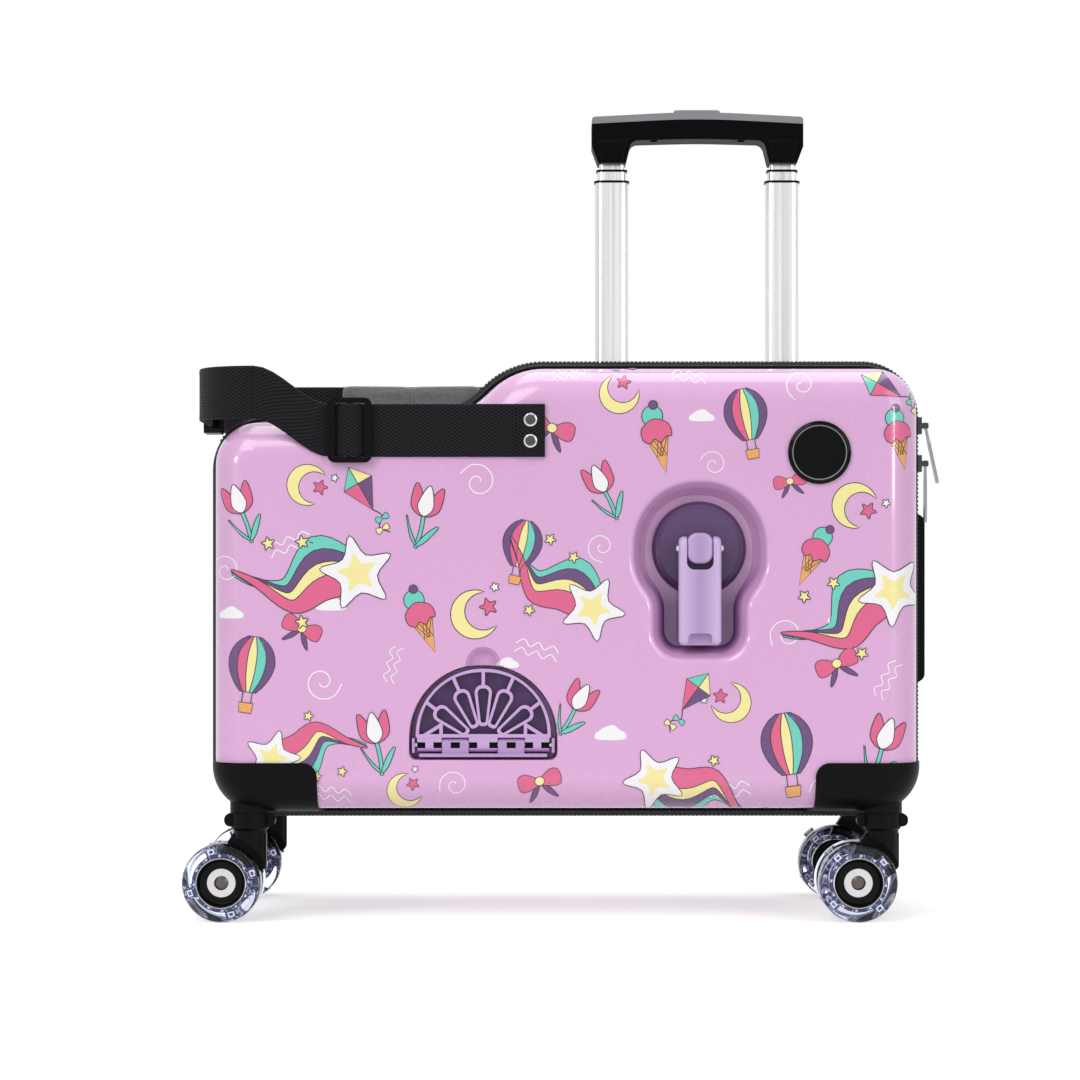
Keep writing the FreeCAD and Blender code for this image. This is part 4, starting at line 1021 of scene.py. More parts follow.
def closed_piece(name: str, work: bmesh.types.BMesh, materials: Iterable[bpy.types.Material],
                 is_smooth: bool = True) -> bpy.types.Object:
    """Turns a closed edit mesh's faces outwards, then makes it an object."""
    bmesh.ops.recalc_face_normals(work, faces=work.faces[:])
    return from_bmesh(name, work, materials, is_smooth)


def hoop(centre: Vector, first: Vector, second: Vector, sides: int) -> list[Vector]:
    """Points of an ellipse about a centre, on two half axes."""
    return [centre + first * math.cos(angle) + second * math.sin(angle) for angle in turns(sides)]


def cover(work: bmesh.types.BMesh, loops: Sequence[Sequence[Vector]], closed: bool = False,
          slot: int = 0) -> None:
    """Makes a surface over a run of equal loops.

    Args:
        work: The edit mesh that takes it.
        loops: Loops of points in metres.
        closed: Whether the last loop runs on to the first. If not, both ends are capped.
        slot: The material's slot.
    """
    rows = [[work.verts.new(point) for point in loop] for loop in loops]
    count = len(rows[0])
    faces = [] if closed else [rows[0], rows[-1]]
    for here, there in zip(rows, rows[1:] + rows[:1] if closed else rows[1:]):
        for k in range(count):
            other = (k + 1) % count
            faces.append([here[k], here[other], there[other], there[k]])
    for corners in faces:
        work.faces.new(corners).material_index = slot


def paint(verts: Iterable[bmesh.types.BMVert], slot: int) -> None:
    """Gives the faces at some points a material's slot."""
    for face in {face for vert in verts for face in vert.link_faces}:
        face.material_index = slot


def surface_of(node: str) -> BVHTree:
    """A solid's surface, for rays to meet.

    Args:
        node: The solid's name.

    Returns:
        The surface as a search tree.
    """
    work = bmesh.new()
    work.from_mesh(bpy.data.objects[node].data)
    tree = BVHTree.FromBMesh(work)
    work.free()
    return tree


def dress(node: str, *materials: bpy.types.Material) -> bpy.types.Mesh:
    """Gives a solid its finishes in slot order.

    Args:
        node: The solid's name.
        materials: Its finishes.

    Returns:
        The solid's mesh.
    """
    mesh = bpy.data.objects[node].data
    mesh.materials.clear()
    for material in materials:
        mesh.materials.append(material)
    LOG.info("%s: %s", node, materials[0].name)
    return mesh


def carry(piece: bpy.types.Object, body: str) -> None:
    """Lets a piece ride a body and logs its face count.

    Args:
        piece: The piece.
        body: The body that moves it.
    """
    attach(piece, body)
    LOG.info("%s on %s: %d faces", piece.name, body, len(piece.data.polygons))


def evaluated(obj: bpy.types.Object) -> bpy.types.Mesh:
    """The object's mesh with its modifiers applied."""
    graph = bpy.context.evaluated_depsgraph_get()
    return bpy.data.meshes.new_from_object(obj.evaluated_get(graph), depsgraph=graph)


def apply_modifiers(obj: bpy.types.Object) -> None:
    """Replaces an object's mesh by its evaluated one and drops the modifiers.

    Args:
        obj: The object.
    """
    mesh = evaluated(obj)
    old = obj.data
    obj.modifiers.clear()
    obj.data = mesh
    bpy.data.meshes.remove(old)


def rounded_outline(corners: Sequence[Triple], spacing: float) -> list[Flat]:
    """Points along a closed outline with rounded corners.

    Args:
        corners: Sharp corners with their radii, counter-clockwise.
        spacing: Distance between the points of an arc.

    Returns:
        The outline's points.
    """
    count = len(corners)
    points = [Vector(corner[:2]) for corner in corners]
    line = []
    for index, (_, _, radius) in enumerate(corners):
        back = (points[index - 1] - points[index]).normalized()
        ahead = (points[(index + 1) % count] - points[index]).normalized()
        turn = math.pi - back.angle(ahead)
        reach = radius * math.tan(turn / 2)
        start, end = points[index] + back * reach, points[index] + ahead * reach
        bisector = (back + ahead).normalized()
        centre = points[index] + bisector * (radius / math.cos(turn / 2))
        steps = max(2, int(radius * turn / spacing))
        for step in range(steps + 1):
            spoke = (start - centre).slerp(end - centre, step / steps)
            line.append(tuple(centre + spoke * radius))
    return line


@dataclass
class CaseShape:
    """The case's outline in side view."""

    length: float = 503.0
    height: float = 323.5
    ground: float = 66.0
    corner: float = 40.0
    drop: float = 37.0
    step_place: float = 40.0
    step_run: float = 38.0
    step_round: float = 60.0

    def outline(self, inset: float, spacing: float = 2.0) -> list[Flat]:
        """Points of the outline, moved inwards by an inset.

        Args:
            inset: How far it is moved.
            spacing: Distance between the points of an arc.

        Returns:
            The outline's points.
        """
        shift = inset * math.tan(math.atan(self.drop / self.step_run) / 2)
        left, right = -self.length / 2 + inset, self.length / 2 - inset
        low, high = self.ground + inset, self.ground + self.height - inset
        round_in = self.corner - inset
        return rounded_outline([
            (left, low, round_in), (right, low, round_in), (right, high, round_in),
            (-self.step_place + shift, high, self.step_round - inset),
            (-self.step_place - self.step_run + shift, high - self.drop, self.step_round + inset),
            (left, high - self.drop, round_in)], spacing)


# Repeats along a line
class Bead(Enum):
    """Shapes that a row repeats."""

    BLOCK = "GeometryNodeMeshCube"
    GRAIN = "GeometryNodeMeshUVSphere"


@dataclass
class Row:
    """Small shapes set one after another along a line, by a node tree with named sizes."""

    name: str
    bead: Bead
    pitch: float
    size: Triple
    across: Triple

    def build(self, line: Sequence[Vector], material: bpy.types.Material) -> bpy.types.Object:
        """Makes the row.

        Args:
            line: The line in metres that the shapes follow.
            material: Their finish.

        Returns:
            A plain mesh object.
        """
        mesh = bpy.data.meshes.new(self.name)
        mesh.from_pydata(line, [(k, k + 1) for k in range(len(line) - 1)], [])
        carrier = new_object(self.name, mesh)
        tree = self._tree()
        modifier = carrier.modifiers.new("row", "NODES")
        modifier.node_group = tree
        values = {"Pitch": self.pitch * MM, "Size": [side * MM for side in self.size],
                  "Across": list(self.across), "Finish": material}
        for item in tree.interface.items_tree:
            if item.in_out == "INPUT" and item.name in values:
                modifier[item.identifier] = values[item.name]
        apply_modifiers(carrier)
        return carrier

    def _tree(self) -> bpy.types.GeometryNodeTree:
        """Builds the node tree: points along the line, one shape on each, then the finish.

        Returns:
            The node tree.
        """
        tree = bpy.data.node_groups.new(self.name + "_row", "GeometryNodeTree")
        kinds = {"Geometry": "Geometry", "Pitch": "Float", "Size": "Vector", "Across": "Vector",
                 "Finish": "Material"}
        for name, kind in kinds.items():
            tree.interface.new_socket(name, in_out="INPUT", socket_type="NodeSocket" + kind)
        tree.interface.new_socket("Geometry", in_out="OUTPUT", socket_type="NodeSocketGeometry")
        given = add_node(tree, "NodeGroupInput").outputs
        curve = add_node(tree, "GeometryNodeMeshToCurve", Mesh=given["Geometry"])
        points = add_node(tree, "GeometryNodeCurveToPoints", {"mode": "LENGTH"}, Curve=curve.outputs["Curve"],
                          Length=given["Pitch"])
        ahead = add_node(tree, "FunctionNodeAlignRotationToVector", {"axis": "X"},
                         Vector=points.outputs["Tangent"])
        upright = add_node(tree, "FunctionNodeAlignRotationToVector", {"axis": "Y", "pivot_axis": "X"},
                           Rotation=ahead.outputs["Rotation"], Vector=given["Across"])
        unit = {"Segments": 8, "Rings": 5, "Radius": 0.5} if self.bead is Bead.GRAIN else {"Size": (1, 1, 1)}
        shape = add_node(tree, self.bead.value, **unit)
        placed = add_node(tree, "GeometryNodeInstanceOnPoints", Points=points.outputs["Points"],
                          Instance=shape.outputs["Mesh"], Rotation=upright.outputs["Rotation"],
                          Scale=given["Size"])
        solid = add_node(tree, "GeometryNodeRealizeInstances", Geometry=placed.outputs["Instances"])
        dressed = add_node(tree, "GeometryNodeSetMaterial", Geometry=solid.outputs["Geometry"],
                           Material=given["Finish"])
        add_node(tree, "NodeGroupOutput", Geometry=dressed.outputs["Geometry"])
        return tree


# Shells and their print
@dataclass
class Wall:
    """One side of a shell that takes a stretch of the print."""

    right: Vector
    up: Vector
    inward: Vector
    figures: Sequence[Placed]


@dataclass
class ShellPrint:
    """The printed film's figures, laid on one half's shell."""

    half: str
    finishes: Finishes
    base: float = 0.12
    layer: float = 0.03
    cell: float = 1.2
    grazing: float = 0.16
    flatness: float = 0.02

    def build(self, walls: Sequence[Wall]) -> None:
        """Lays every wall's figures on the shell as one piece.

        Args:
            walls: The shell's sides with their figures.
        """
        tree = surface_of(f"{self.half}_shell")
        target = bmesh.new()
        inks = list(Ink)
        for wall in walls:
            for figure, (x, y, scale, angle) in wall.figures:
                turn = Matrix.Rotation(math.radians(angle), 2)
                for order, (shape, ink) in enumerate(DRAW[figure]().layers):
                    moved = [turn @ Vector(point) * scale + Vector((x, y)) for point in shape]
                    self._lay(target, tree, wall, moved, order, inks.index(ink))
        bmesh.ops.remove_doubles(target, verts=target.verts, dist=1e-7)
        made = from_bmesh(f"{self.half}_print", target, [self.finishes.inks[ink] for ink in inks])
        carry(made, f"{self.half}_half")

    def _hit(self, tree: BVHTree, wall: Wall, x: float, y: float) -> tuple[Vector, Vector] | None:
        """Where a point of the flat print meets the shell, and the shell's normal there.

        Args:
            tree: The shell's surface.
            wall: The side that is printed.
            x, y: The point in the wall's own plane.

        Returns:
            The place and the normal, or nothing where the shell is missed or slopes too much.
        """
        start = (wall.right * x + wall.up * y) * MM - wall.inward
        place, normal, _, _ = tree.ray_cast(start, wall.inward)
        if place is None or -normal.dot(wall.inward) < self.grazing:
            return None
        return place, normal

    def _lay(self, target: bmesh.types.BMesh, tree: BVHTree, wall: Wall, shape: list[Vector], order: int,
             slot: int) -> None:
        """Drops one outline onto the shell, cut into cells where the shell isn't level.

        Args:
            target: The edit mesh that takes it.
            tree: The shell's surface.
            wall: The side that it is laid on.
            shape: The outline in the wall's own plane.
            order: Its place in the figure's layers.
            slot: The material's slot.
        """
        piece = bmesh.new()
        piece.faces.new([piece.verts.new((point.x, point.y, 0)) for point in shape])
        piece.normal_update()
        bmesh.ops.triangulate(piece, faces=piece.faces[:])
        middle = sum(shape, Vector((0, 0))) / len(shape)
        hits = [self._hit(tree, wall, *point) for point in (*shape, middle)]
        depths = [hit[0].dot(wall.inward) for hit in hits if hit]
        if len(depths) < len(hits) or max(depths) - min(depths) >= self.flatness * MM:
            self._slice(piece, shape)
        lift = (self.base + self.layer * order) * MM
        placed = {}
        for vert in piece.verts:
            hit = self._hit(tree, wall, vert.co.x, vert.co.y)
            if hit:
                placed[vert] = target.verts.new(hit[0] + hit[1] * lift)
        for face in piece.faces:
            if all(vert in placed for vert in face.verts):
                made = target.faces.new([placed[vert] for vert in face.verts])
                made.material_index = slot
                made.normal_update()
                if made.normal.dot(wall.inward) > 0:
                    made.normal_flip()
        piece.free()

    def _slice(self, piece: bmesh.types.BMesh, shape: list[Vector]) -> None:
        """Cuts a flat outline along a square grid.

        Args:
            piece: The flat outline's mesh.
            shape: The outline.
        """
        for axis, normal in enumerate((Vector((1, 0, 0)), Vector((0, 1, 0)))):
            low, high = min(point[axis] for point in shape), max(point[axis] for point in shape)
            line = math.ceil(low / self.cell) * self.cell
            while line < high:
                everything = piece.verts[:] + piece.edges[:] + piece.faces[:]
                bmesh.ops.bisect_plane(piece, geom=everything, plane_co=normal * line, plane_no=normal,
                                       dist=1e-6)
                line += self.cell


# Each figure's places on the near broad face: along, up, scale and turn in degrees
FACE_LAYOUT: dict[Figure, tuple[Spot, ...]] = {
    Figure.COMET: ((-142, 238, 0.95, 12), (18, 214, 0.82, -28), (222, 226, 0.9, 34), (60, 98, 0.8, 168),
        (-200, 112, 0.72, 200)),
    Figure.BALLOON: ((-214, 176, 0.78, -8), (122, 346, 0.72, 10), (150, 122, 0.86, 8),
        (-30, 258, 0.66, -12)),
    Figure.TULIP: ((-96, 282, 0.86, -14), (-222, 284, 0.82, 18), (24, 298, 0.8, 24),
        (216, 124, 0.9, -20), (-130, 128, 0.86, 10), (8, 150, 0.78, -30)),
    Figure.MOON: ((-62, 210, 0.86, 20), (196, 284, 0.8, -30), (112, 150, 0.7, 140),
        (-176, 298, 0.72, -20), (36, 360, 0.7, 60), (-110, 90, 0.62, 30)),
    Figure.CONE: ((-98, 206, 0.78, 22), (168, 250, 0.74, -26), (62, 330, 0.8, 14), (226, 330, 0.72, 12)),
    Figure.BOW: ((-180, 200, 0.62, -24), (-18, 96, 0.66, 14), (184, 176, 0.66, 24),
        (-10, 336, 0.7, -18), (152, 300, 0.5, 12)),
    Figure.KITE: ((-140, 296, 0.66, 30), (88, 158, 0.6, -36), (214, 366, 0.6, 60)),
    Figure.SWIRL: ((-60, 300, 0.5, 0), (150, 196, 0.46, 60), (24, 256, 0.4, 120), (-166, 164, 0.5, 200),
        (176, 90, 0.4, 30), (-232, 240, 0.4, 0), (160, 366, 0.42, 90), (-76, 94, 0.4, 45),
        (100, 312, 0.36, 10)),
    Figure.RIPPLE: ((-188, 258, 0.5, 20), (-20, 186, 0.5, -14), (218, 166, 0.46, 60),
        (110, 90, 0.5, 10), (-160, 88, 0.46, -8), (2, 374, 0.4, 6), (-118, 176, 0.42, 76),
        (84, 372, 0.4, -8)),
    Figure.CLOUD: ((-160, 216, 0.6, 0), (30, 128, 0.62, 0), (188, 206, 0.6, 0), (-228, 210, 0.5, 0),
        (92, 344, 0.5, 0), (-40, 176, 0.45, 0)),
}
FAR_SWAP = {
    Figure.TULIP: Figure.CONE, Figure.CONE: Figure.BOW, Figure.BOW: Figure.TULIP,
    Figure.BALLOON: Figure.KITE, Figure.KITE: Figure.BALLOON,
}
EDGE_FIGURES = (Figure.TULIP, Figure.MOON, Figure.CONE, Figure.BOW, Figure.SWIRL, Figure.KITE, Figure.CLOUD)


@dataclass
class Shells:
    """Both hard shells: film outside, cloth lining inside, and the print."""

    finishes: Finishes
    recess_x: float = 91.0
    recess_half: float = 46.0
    recess_low: float = 176.0
    recess_high: float = 302.0
    recess_depth: float = 80.0
    probe: float = 0.3
    edge_scale: float = 0.62
    edge_sway: float = 7.0
    edge_turn: float = 37.0
    edge_first_turn: float = -30.0

    def build(self) -> None:
        """Dresses both shells and prints them."""
        for half, side in HALVES:
            self._line(half, side)
            ShellPrint(half, self.finishes).build(self._walls(side))

    def _line(self, half: str, side: int) -> None:
        """Gives the shell its film, the hollow's film with painted shade in the hand grip's recess, and cloth
        on the faces that look inwards.

        Args:
            half: The shell's half.
            side: The side that it looks to, along Y.
        """
        mesh = dress(f"{half}_shell", self.finishes.shell, self.finishes.lining, self.finishes.recess)
        tree = surface_of(f"{half}_shell")
        outward = Vector((0, side, 0))
        for polygon in mesh.polygons:
            start = polygon.center + polygon.normal * self.probe * MM
            inside = tree.ray_cast(start, outward)[0] is not None
            # Inside faces take the lining, faces in the grip's recess the film with painted shade, the rest
            # the film.
            polygon.material_index = 1 if inside else 2 if self._in_recess(polygon.center / MM) else 0

    def _in_recess(self, place: Vector) -> bool:
        """Whether a place on the shell's face lies in the hand grip's recess."""
        level = self.recess_low < place.z < self.recess_high
        return level and abs(place.x - self.recess_x) < self.recess_half and abs(place.y) > self.recess_depth

    def _strip(self, start: float, end: float, middle: float, count: int, first: int) -> list[Placed]:
        """Small figures along an edge.

        Args:
            start, end: The stretch that they fill.
            middle: Their line across the edge.
            count: How many there are.
            first: The first one's place among the edges' figures.

        Returns:
            The figures with their places.
        """
        placed = []
        for k in range(count):
            along = start + (end - start) * (k + 0.5) / count
            across = middle + (self.edge_sway if k % 2 else -self.edge_sway)
            figure = EDGE_FIGURES[(first + k) % len(EDGE_FIGURES)]
            angle = self.edge_turn * k + self.edge_first_turn
            placed.append((figure, (along, across, self.edge_scale, angle)))
        return placed

    def _walls(self, side: int) -> list[Wall]:
        """The shell's broad face and its four edges, each with its figures.

        Args:
            side: The side that the shell looks to, along Y.

        Returns:
            The face, both ends, the top and the underside.
        """
        up, along, deep = Vector((0, 0, 1)), Vector((1, 0, 0)), Vector((0, side, 0))
        walls = [Wall(along * -side, up, -deep, self._face(side))]
        for sign in (-1, 1):
            upright = [(figure, (y, x, scale, angle)) for figure, (x, y, scale, angle)
                       in self._strip(124, 330, 48 * sign, 5, 2 + sign)]
            walls.append(Wall(deep * sign, up, along * -sign, upright))
        top = self._strip(-20, 200, 62, 5, 1) + self._strip(-205, -95, 62, 3, 4)
        under = self._strip(-150, 150, 48, 6, 0)
        return walls + [Wall(along, deep, -up, top), Wall(along, deep, up, under)]

    @staticmethod
    def _face(side: int) -> list[Placed]:
        """The broad face's figures. The far face has the same layout with its figures changed about.

        Args:
            side: The side that the shell looks to, along Y.

        Returns:
            The figures with their places.
        """
        near = [(figure, spot) for figure, spots in FACE_LAYOUT.items() for spot in spots]
        if side < 0:
            return near
        return [(FAR_SWAP.get(figure, figure), (-x, z, scale, -angle))
                for figure, (x, z, scale, angle) in near]


# Zip
@dataclass
class Zip:
    """Tape, piping and teeth round the mouth of both halves."""

    finishes: Finishes
    shape: CaseShape
    pitch: float = 3.0
    tooth: Triple = (1.7, 2.6, 1.5)
    piping_radius: float = 1.5
    piping_inset: float = 4.6
    piping_depth: float = 11.6
    piping_sides: int = 10
    hinge_clear: float = 6.0
    tooth_inset: float = 0.3
    tooth_depth: float = 1.35

    def build(self) -> None:
        """Makes the teeth and the piping of each half."""
        for half, side in HALVES:
            dress(f"{half}_rim", self.finishes.zip_band)
            shift = self.pitch / 2 if side > 0 else 0.0
            line = self._open(self._line(self.tooth_inset, side * self.tooth_depth), shift)
            row = Row(f"{half}_zip_teeth", Bead.BLOCK, self.pitch, self.tooth, (0, 1, 0))
            carry(row.build(line, self.finishes.zip_metal), f"{half}_half")
            carry(self._piping(half, side), f"{half}_half")

    def _open(self, line: list[Vector], shift: float) -> list[Vector]:
        """The part of a closed line that keeps clear of the hinged side.

        Args:
            line: The closed line, in metres.
            shift: How much further on it starts, in millimetres.

        Returns:
            The open line.
        """
        limit = (self.hinge_clear - self.shape.length / 2) * MM
        kept = [point.x > limit for point in line]
        first = next(k for k in range(len(line)) if kept[k] and not kept[k - 1])
        turned = (line[first:] + line[:first])[:sum(kept)]
        turned[0] = turned[0].lerp(turned[1], min(0.9, shift * MM / (turned[1] - turned[0]).length))
        return turned

    def _line(self, inset: float, y: float) -> list[Vector]:
        """The case's outline at one depth."""
        return [Vector((x, y, z)) * MM for x, z in self.shape.outline(inset)]

    def _piping(self, half: str, side: int) -> bpy.types.Object:
        """A round cord along the seam of the shell and the band.

        Args:
            half: The cord's half.
            side: The side that the half looks to, along Y.

        Returns:
            The cord.
        """
        points = self._line(self.piping_inset, side * self.piping_depth)
        across = Vector((0, 1, 0))
        radius = self.piping_radius * MM
        loops = []
        for index, point in enumerate(points):
            along = (points[(index + 1) % len(points)] - points[index - 1]).normalized()
            loops.append(hoop(point, along.cross(across) * radius, across * radius, self.piping_sides))
        work = bmesh.new()
        cover(work, loops, closed=True)
        return closed_piece(f"{half}_piping", work, [self.finishes.black_gloss])


# Back belt
@dataclass
class Belt:
    """The back belt's three lengths of webbing, with hems and stitches at its anchors."""

    finishes: Finishes
    width: float = 36.0
    thick: float = 2.0
    front: float = -14.5
    low: float = 335.0
    rise: float = 26.0
    rear: float = 252.5
    turn: float = 40.0
    skin: float = 108.3
    straight: Flat = (-60.0, -110.0)
    slider_x: float = -147.0
    slider_bar: float = 5.0
    slider_slot: float = 9.7
    slider_lift: float = 5.6
    buckle_start: float = 3.0
    buckle_length: float = 26.0
    pad_front: float = -61.0
    anchor_run: float = 20.0
    hem: float = 19.0
    hem_thick: float = 0.9
    seam: float = 2.6
    stitch: Triple = (2.5, 0.8, 0.6)
    stitch_pitch: float = 3.2
    point_gap: float = 4.0
    corner_steps: int = 12
    run_steps: int = 8

    def build(self) -> None:
        """Makes the three lengths of webbing and the hems."""
        near = self._strap("belt_near_webbing", self._near_line())
        carry(near, "near_half")
        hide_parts("belt_near")
        rear = self._strap("belt_rear_webbing", self._rear_line())
        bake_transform(rear)
        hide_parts("belt_rear")
        LOG.info("%s between the halves: %d faces", rear.name, len(rear.data.polygons))
        far = self._strap("belt_far_webbing", self._far_line())
        carry(far, "far_half")
        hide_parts("belt_far")
        for half, side in HALVES:
            self._hem(half, side)

    def _high(self) -> float:
        """Middle height of the belt's raised part."""
        return self.low + self.rise

    @staticmethod
    def _ease(share: float) -> float:
        """A smooth climb from 0 to 1."""
        return share * share * (3 - 2 * share)

    def _near_line(self) -> list[Triple]:
        """Middle line from the near anchor over the slider's bar and up towards the rear.

        Returns:
            Points in millimetres.
        """
        climb = [(self.slider_slot + 2.0, 0.0), (self.slider_slot - 1.0, -0.3),
                 (self.slider_bar / 2 + 0.6, 0.35 - self.slider_lift)]
        hump = climb + [(0.0, -0.15 - self.slider_lift)] + [(-x, y) for x, y in reversed(climb)]
        line = [(x, -self.skin, self.low) for x in (self.front, *self.straight)]
        line += [(self.slider_x + x, y - self.skin, self.low) for x, y in hump]
        start, end = self.slider_x - self.slider_slot - 4, -self.rear + self.turn
        for step in range(1, self.run_steps + 1):
            share = step / self.run_steps
            line.append((start + (end - start) * share, -self.skin, self.low + self.rise * self._ease(share)))
        return line

    def _corner(self, side: int) -> list[Triple]:
        """Middle line round a rear corner, from the side to the rear.

        Args:
            side: The corner's side along Y.

        Returns:
            Points in millimetres.
        """
        middle_x, middle_y = -self.rear + self.turn, self.skin - self.turn
        line = []
        for step in range(self.corner_steps + 1):
            angle = math.radians(90 * step / self.corner_steps)
            y = side * (middle_y + self.turn * math.cos(angle))
            line.append((middle_x - self.turn * math.sin(angle), y, self._high()))
        return line

    def _rear_line(self) -> list[Triple]:
        """Middle line round the near rear corner to the buckle.

        Returns:
            Points in millimetres.
        """
        start = self.turn - self.skin
        shares = [step / self.run_steps for step in range(1, self.run_steps + 1)]
        run = [(-self.rear, start + (self.buckle_start - start) * share, self._high()) for share in shares]
        return self._corner(-1) + run

    def _far_line(self) -> list[Triple]:
        """Middle line from the buckle round the far rear corner to the far anchor.

        Returns:
            Points in millimetres.
        """
        turn_x, turn_y = -self.rear + self.turn, self.skin - self.turn
        start = self.buckle_start + self.buckle_length
        line = [(-self.rear, start + (turn_y - start) * step / 5, self._high()) for step in range(5)]
        line += reversed(self._corner(1))
        for step in range(1, self.run_steps):
            line.append((turn_x + (self.pad_front - turn_x) * step / self.run_steps, self.skin, self._high()))
        end = self.front - self.anchor_run
        for step in range(self.run_steps + 1):
            share = step / self.run_steps
            line.append((self.pad_front + (end - self.pad_front) * share, self.skin,
                         self.low + self.rise * self._ease(1 - share)))
        return line + [(self.front, self.skin, self.low)]

    def _curve(self, line: Sequence[Triple]) -> list[Vector]:
        """Points of the smooth curve through a middle line.

        Args:
            line: Points of the middle line.

        Returns:
            The curve's points.
        """
        given = [Vector(point) for point in line]
        last = len(given) - 1
        points = []
        for index in range(last):
            four = [given[min(max(index + k, 0), last)] for k in (-1, 0, 1, 2)]
            steps = max(1, int((four[2] - four[1]).length / self.point_gap))
            for step in range(steps):
                points.append(Vector([passed(*values, step / steps) for values in zip(*four)]))
        return points + [given[-1]]

    def _section(self) -> list[Flat]:
        """The webbing's cross-section, up and outwards, with a raised rib along each edge.

        Returns:
            Points of the section in millimetres.
        """
        half, edge = self.width / 2, self.thick / 2
        under = [(-half + 0.5, edge * 0.8), (-half, 0.0), (-half + 0.5, -edge * 0.8), (-half + 1.8, -edge)]
        under += [(-half + self.width * k / 6, -edge * 0.85) for k in range(1, 6)] + [(half - 1.8, -edge)]
        return under + [(-up, -out) for up, out in under]

    def _strap(self, name: str, line: Sequence[Triple]) -> bpy.types.Object:
        """A length of webbing along a middle line.

        Args:
            name: The piece's name.
            line: Points of its middle line, in millimetres.

        Returns:
            The strap, with a map that measures along and across it in metres.
        """
        points, section = self._curve(line), self._section()
        work = bmesh.new()
        layer = work.loops.layers.uv.new("map")
        along, rings, travelled = 0.0, [], []
        for index, point in enumerate(points):
            ahead = points[min(index + 1, len(points) - 1)] - points[max(index - 1, 0)]
            level = Vector((ahead.x, ahead.y, 0)).normalized()
            out = Vector((level.y, -level.x, 0))
            along += (point - points[max(index - 1, 0)]).length
            travelled.append(along)
            rings.append([work.verts.new((point + Vector((0, 0, v)) + out * w) * MM) for v, w in section])
        count = len(section)
        for index in range(len(rings) - 1):
            for k in range(count):
                other = (k + 1) % count
                spots = ((index, k), (index + 1, k), (index + 1, other), (index, other))
                face = work.faces.new([rings[where][spot] for where, spot in spots])
                for loop, (where, spot) in zip(face.loops, spots):
                    loop[layer].uv = (travelled[where] * MM, section[spot][0] * MM)
        for end in (rings[0], rings[-1]):
            face = work.faces.new(end)
            for loop, (up, out) in zip(face.loops, section):
                loop[layer].uv = (out * MM, up * MM)
        return closed_piece(name, work, [self.finishes.webbing])

    def _hem(self, half: str, side: int) -> None:
        """The folded end of the belt at its anchor, with a seam of stitches.

        Args:
            half: The half that the anchor is on.
            side: The side that the half looks to, along Y.
        """
        work = bmesh.new()
        layer = work.loops.layers.uv.new("map")
        y = side * (self.skin + self.thick / 2)
        outer = y + side * self.hem_thick
        left, right = self.front - self.hem, self.front - 0.4
        half_width = self.width / 2 - 0.3
        profile = [(left, y), (left + 0.3, outer - side * 0.2), (left + 1.0, outer), (right - 1.0, outer),
                   (right - 0.2, outer - side * 0.3), (right, y)]
        rows = []
        for z in (-half_width, -half_width + 0.6, half_width - 0.6, half_width):
            pull = 0.25 * side if abs(z) == half_width else 0.0
            rows.append([work.verts.new(Vector((x, depth - (pull if depth != y else 0), self.low + z)) * MM)
                         for x, depth in profile])
        for here, there in zip(rows, rows[1:]):
            for k in range(len(profile) - 1):
                face = work.faces.new([here[k], here[k + 1], there[k + 1], there[k]])
                for loop in face.loops:
                    loop[layer].uv = (loop.vert.co.x, loop.vert.co.z)
        bmesh.ops.holes_fill(work, edges=[edge for edge in work.edges if edge.is_boundary], sides=0)
        hem = closed_piece(f"belt_{half}_hem", work, [self.finishes.webbing])
        carry(hem, f"{half}_half")
        line = [Vector((left + self.seam, outer + side * 0.1, self.low + sign * (half_width - 1.5))) * MM
                for sign in (-1, 1)]
        row = Row(f"belt_{half}_stitches", Bead.GRAIN, self.stitch_pitch, self.stitch, (1, 0, 0))
        carry(row.build(line, self.finishes.thread), f"{half}_half")


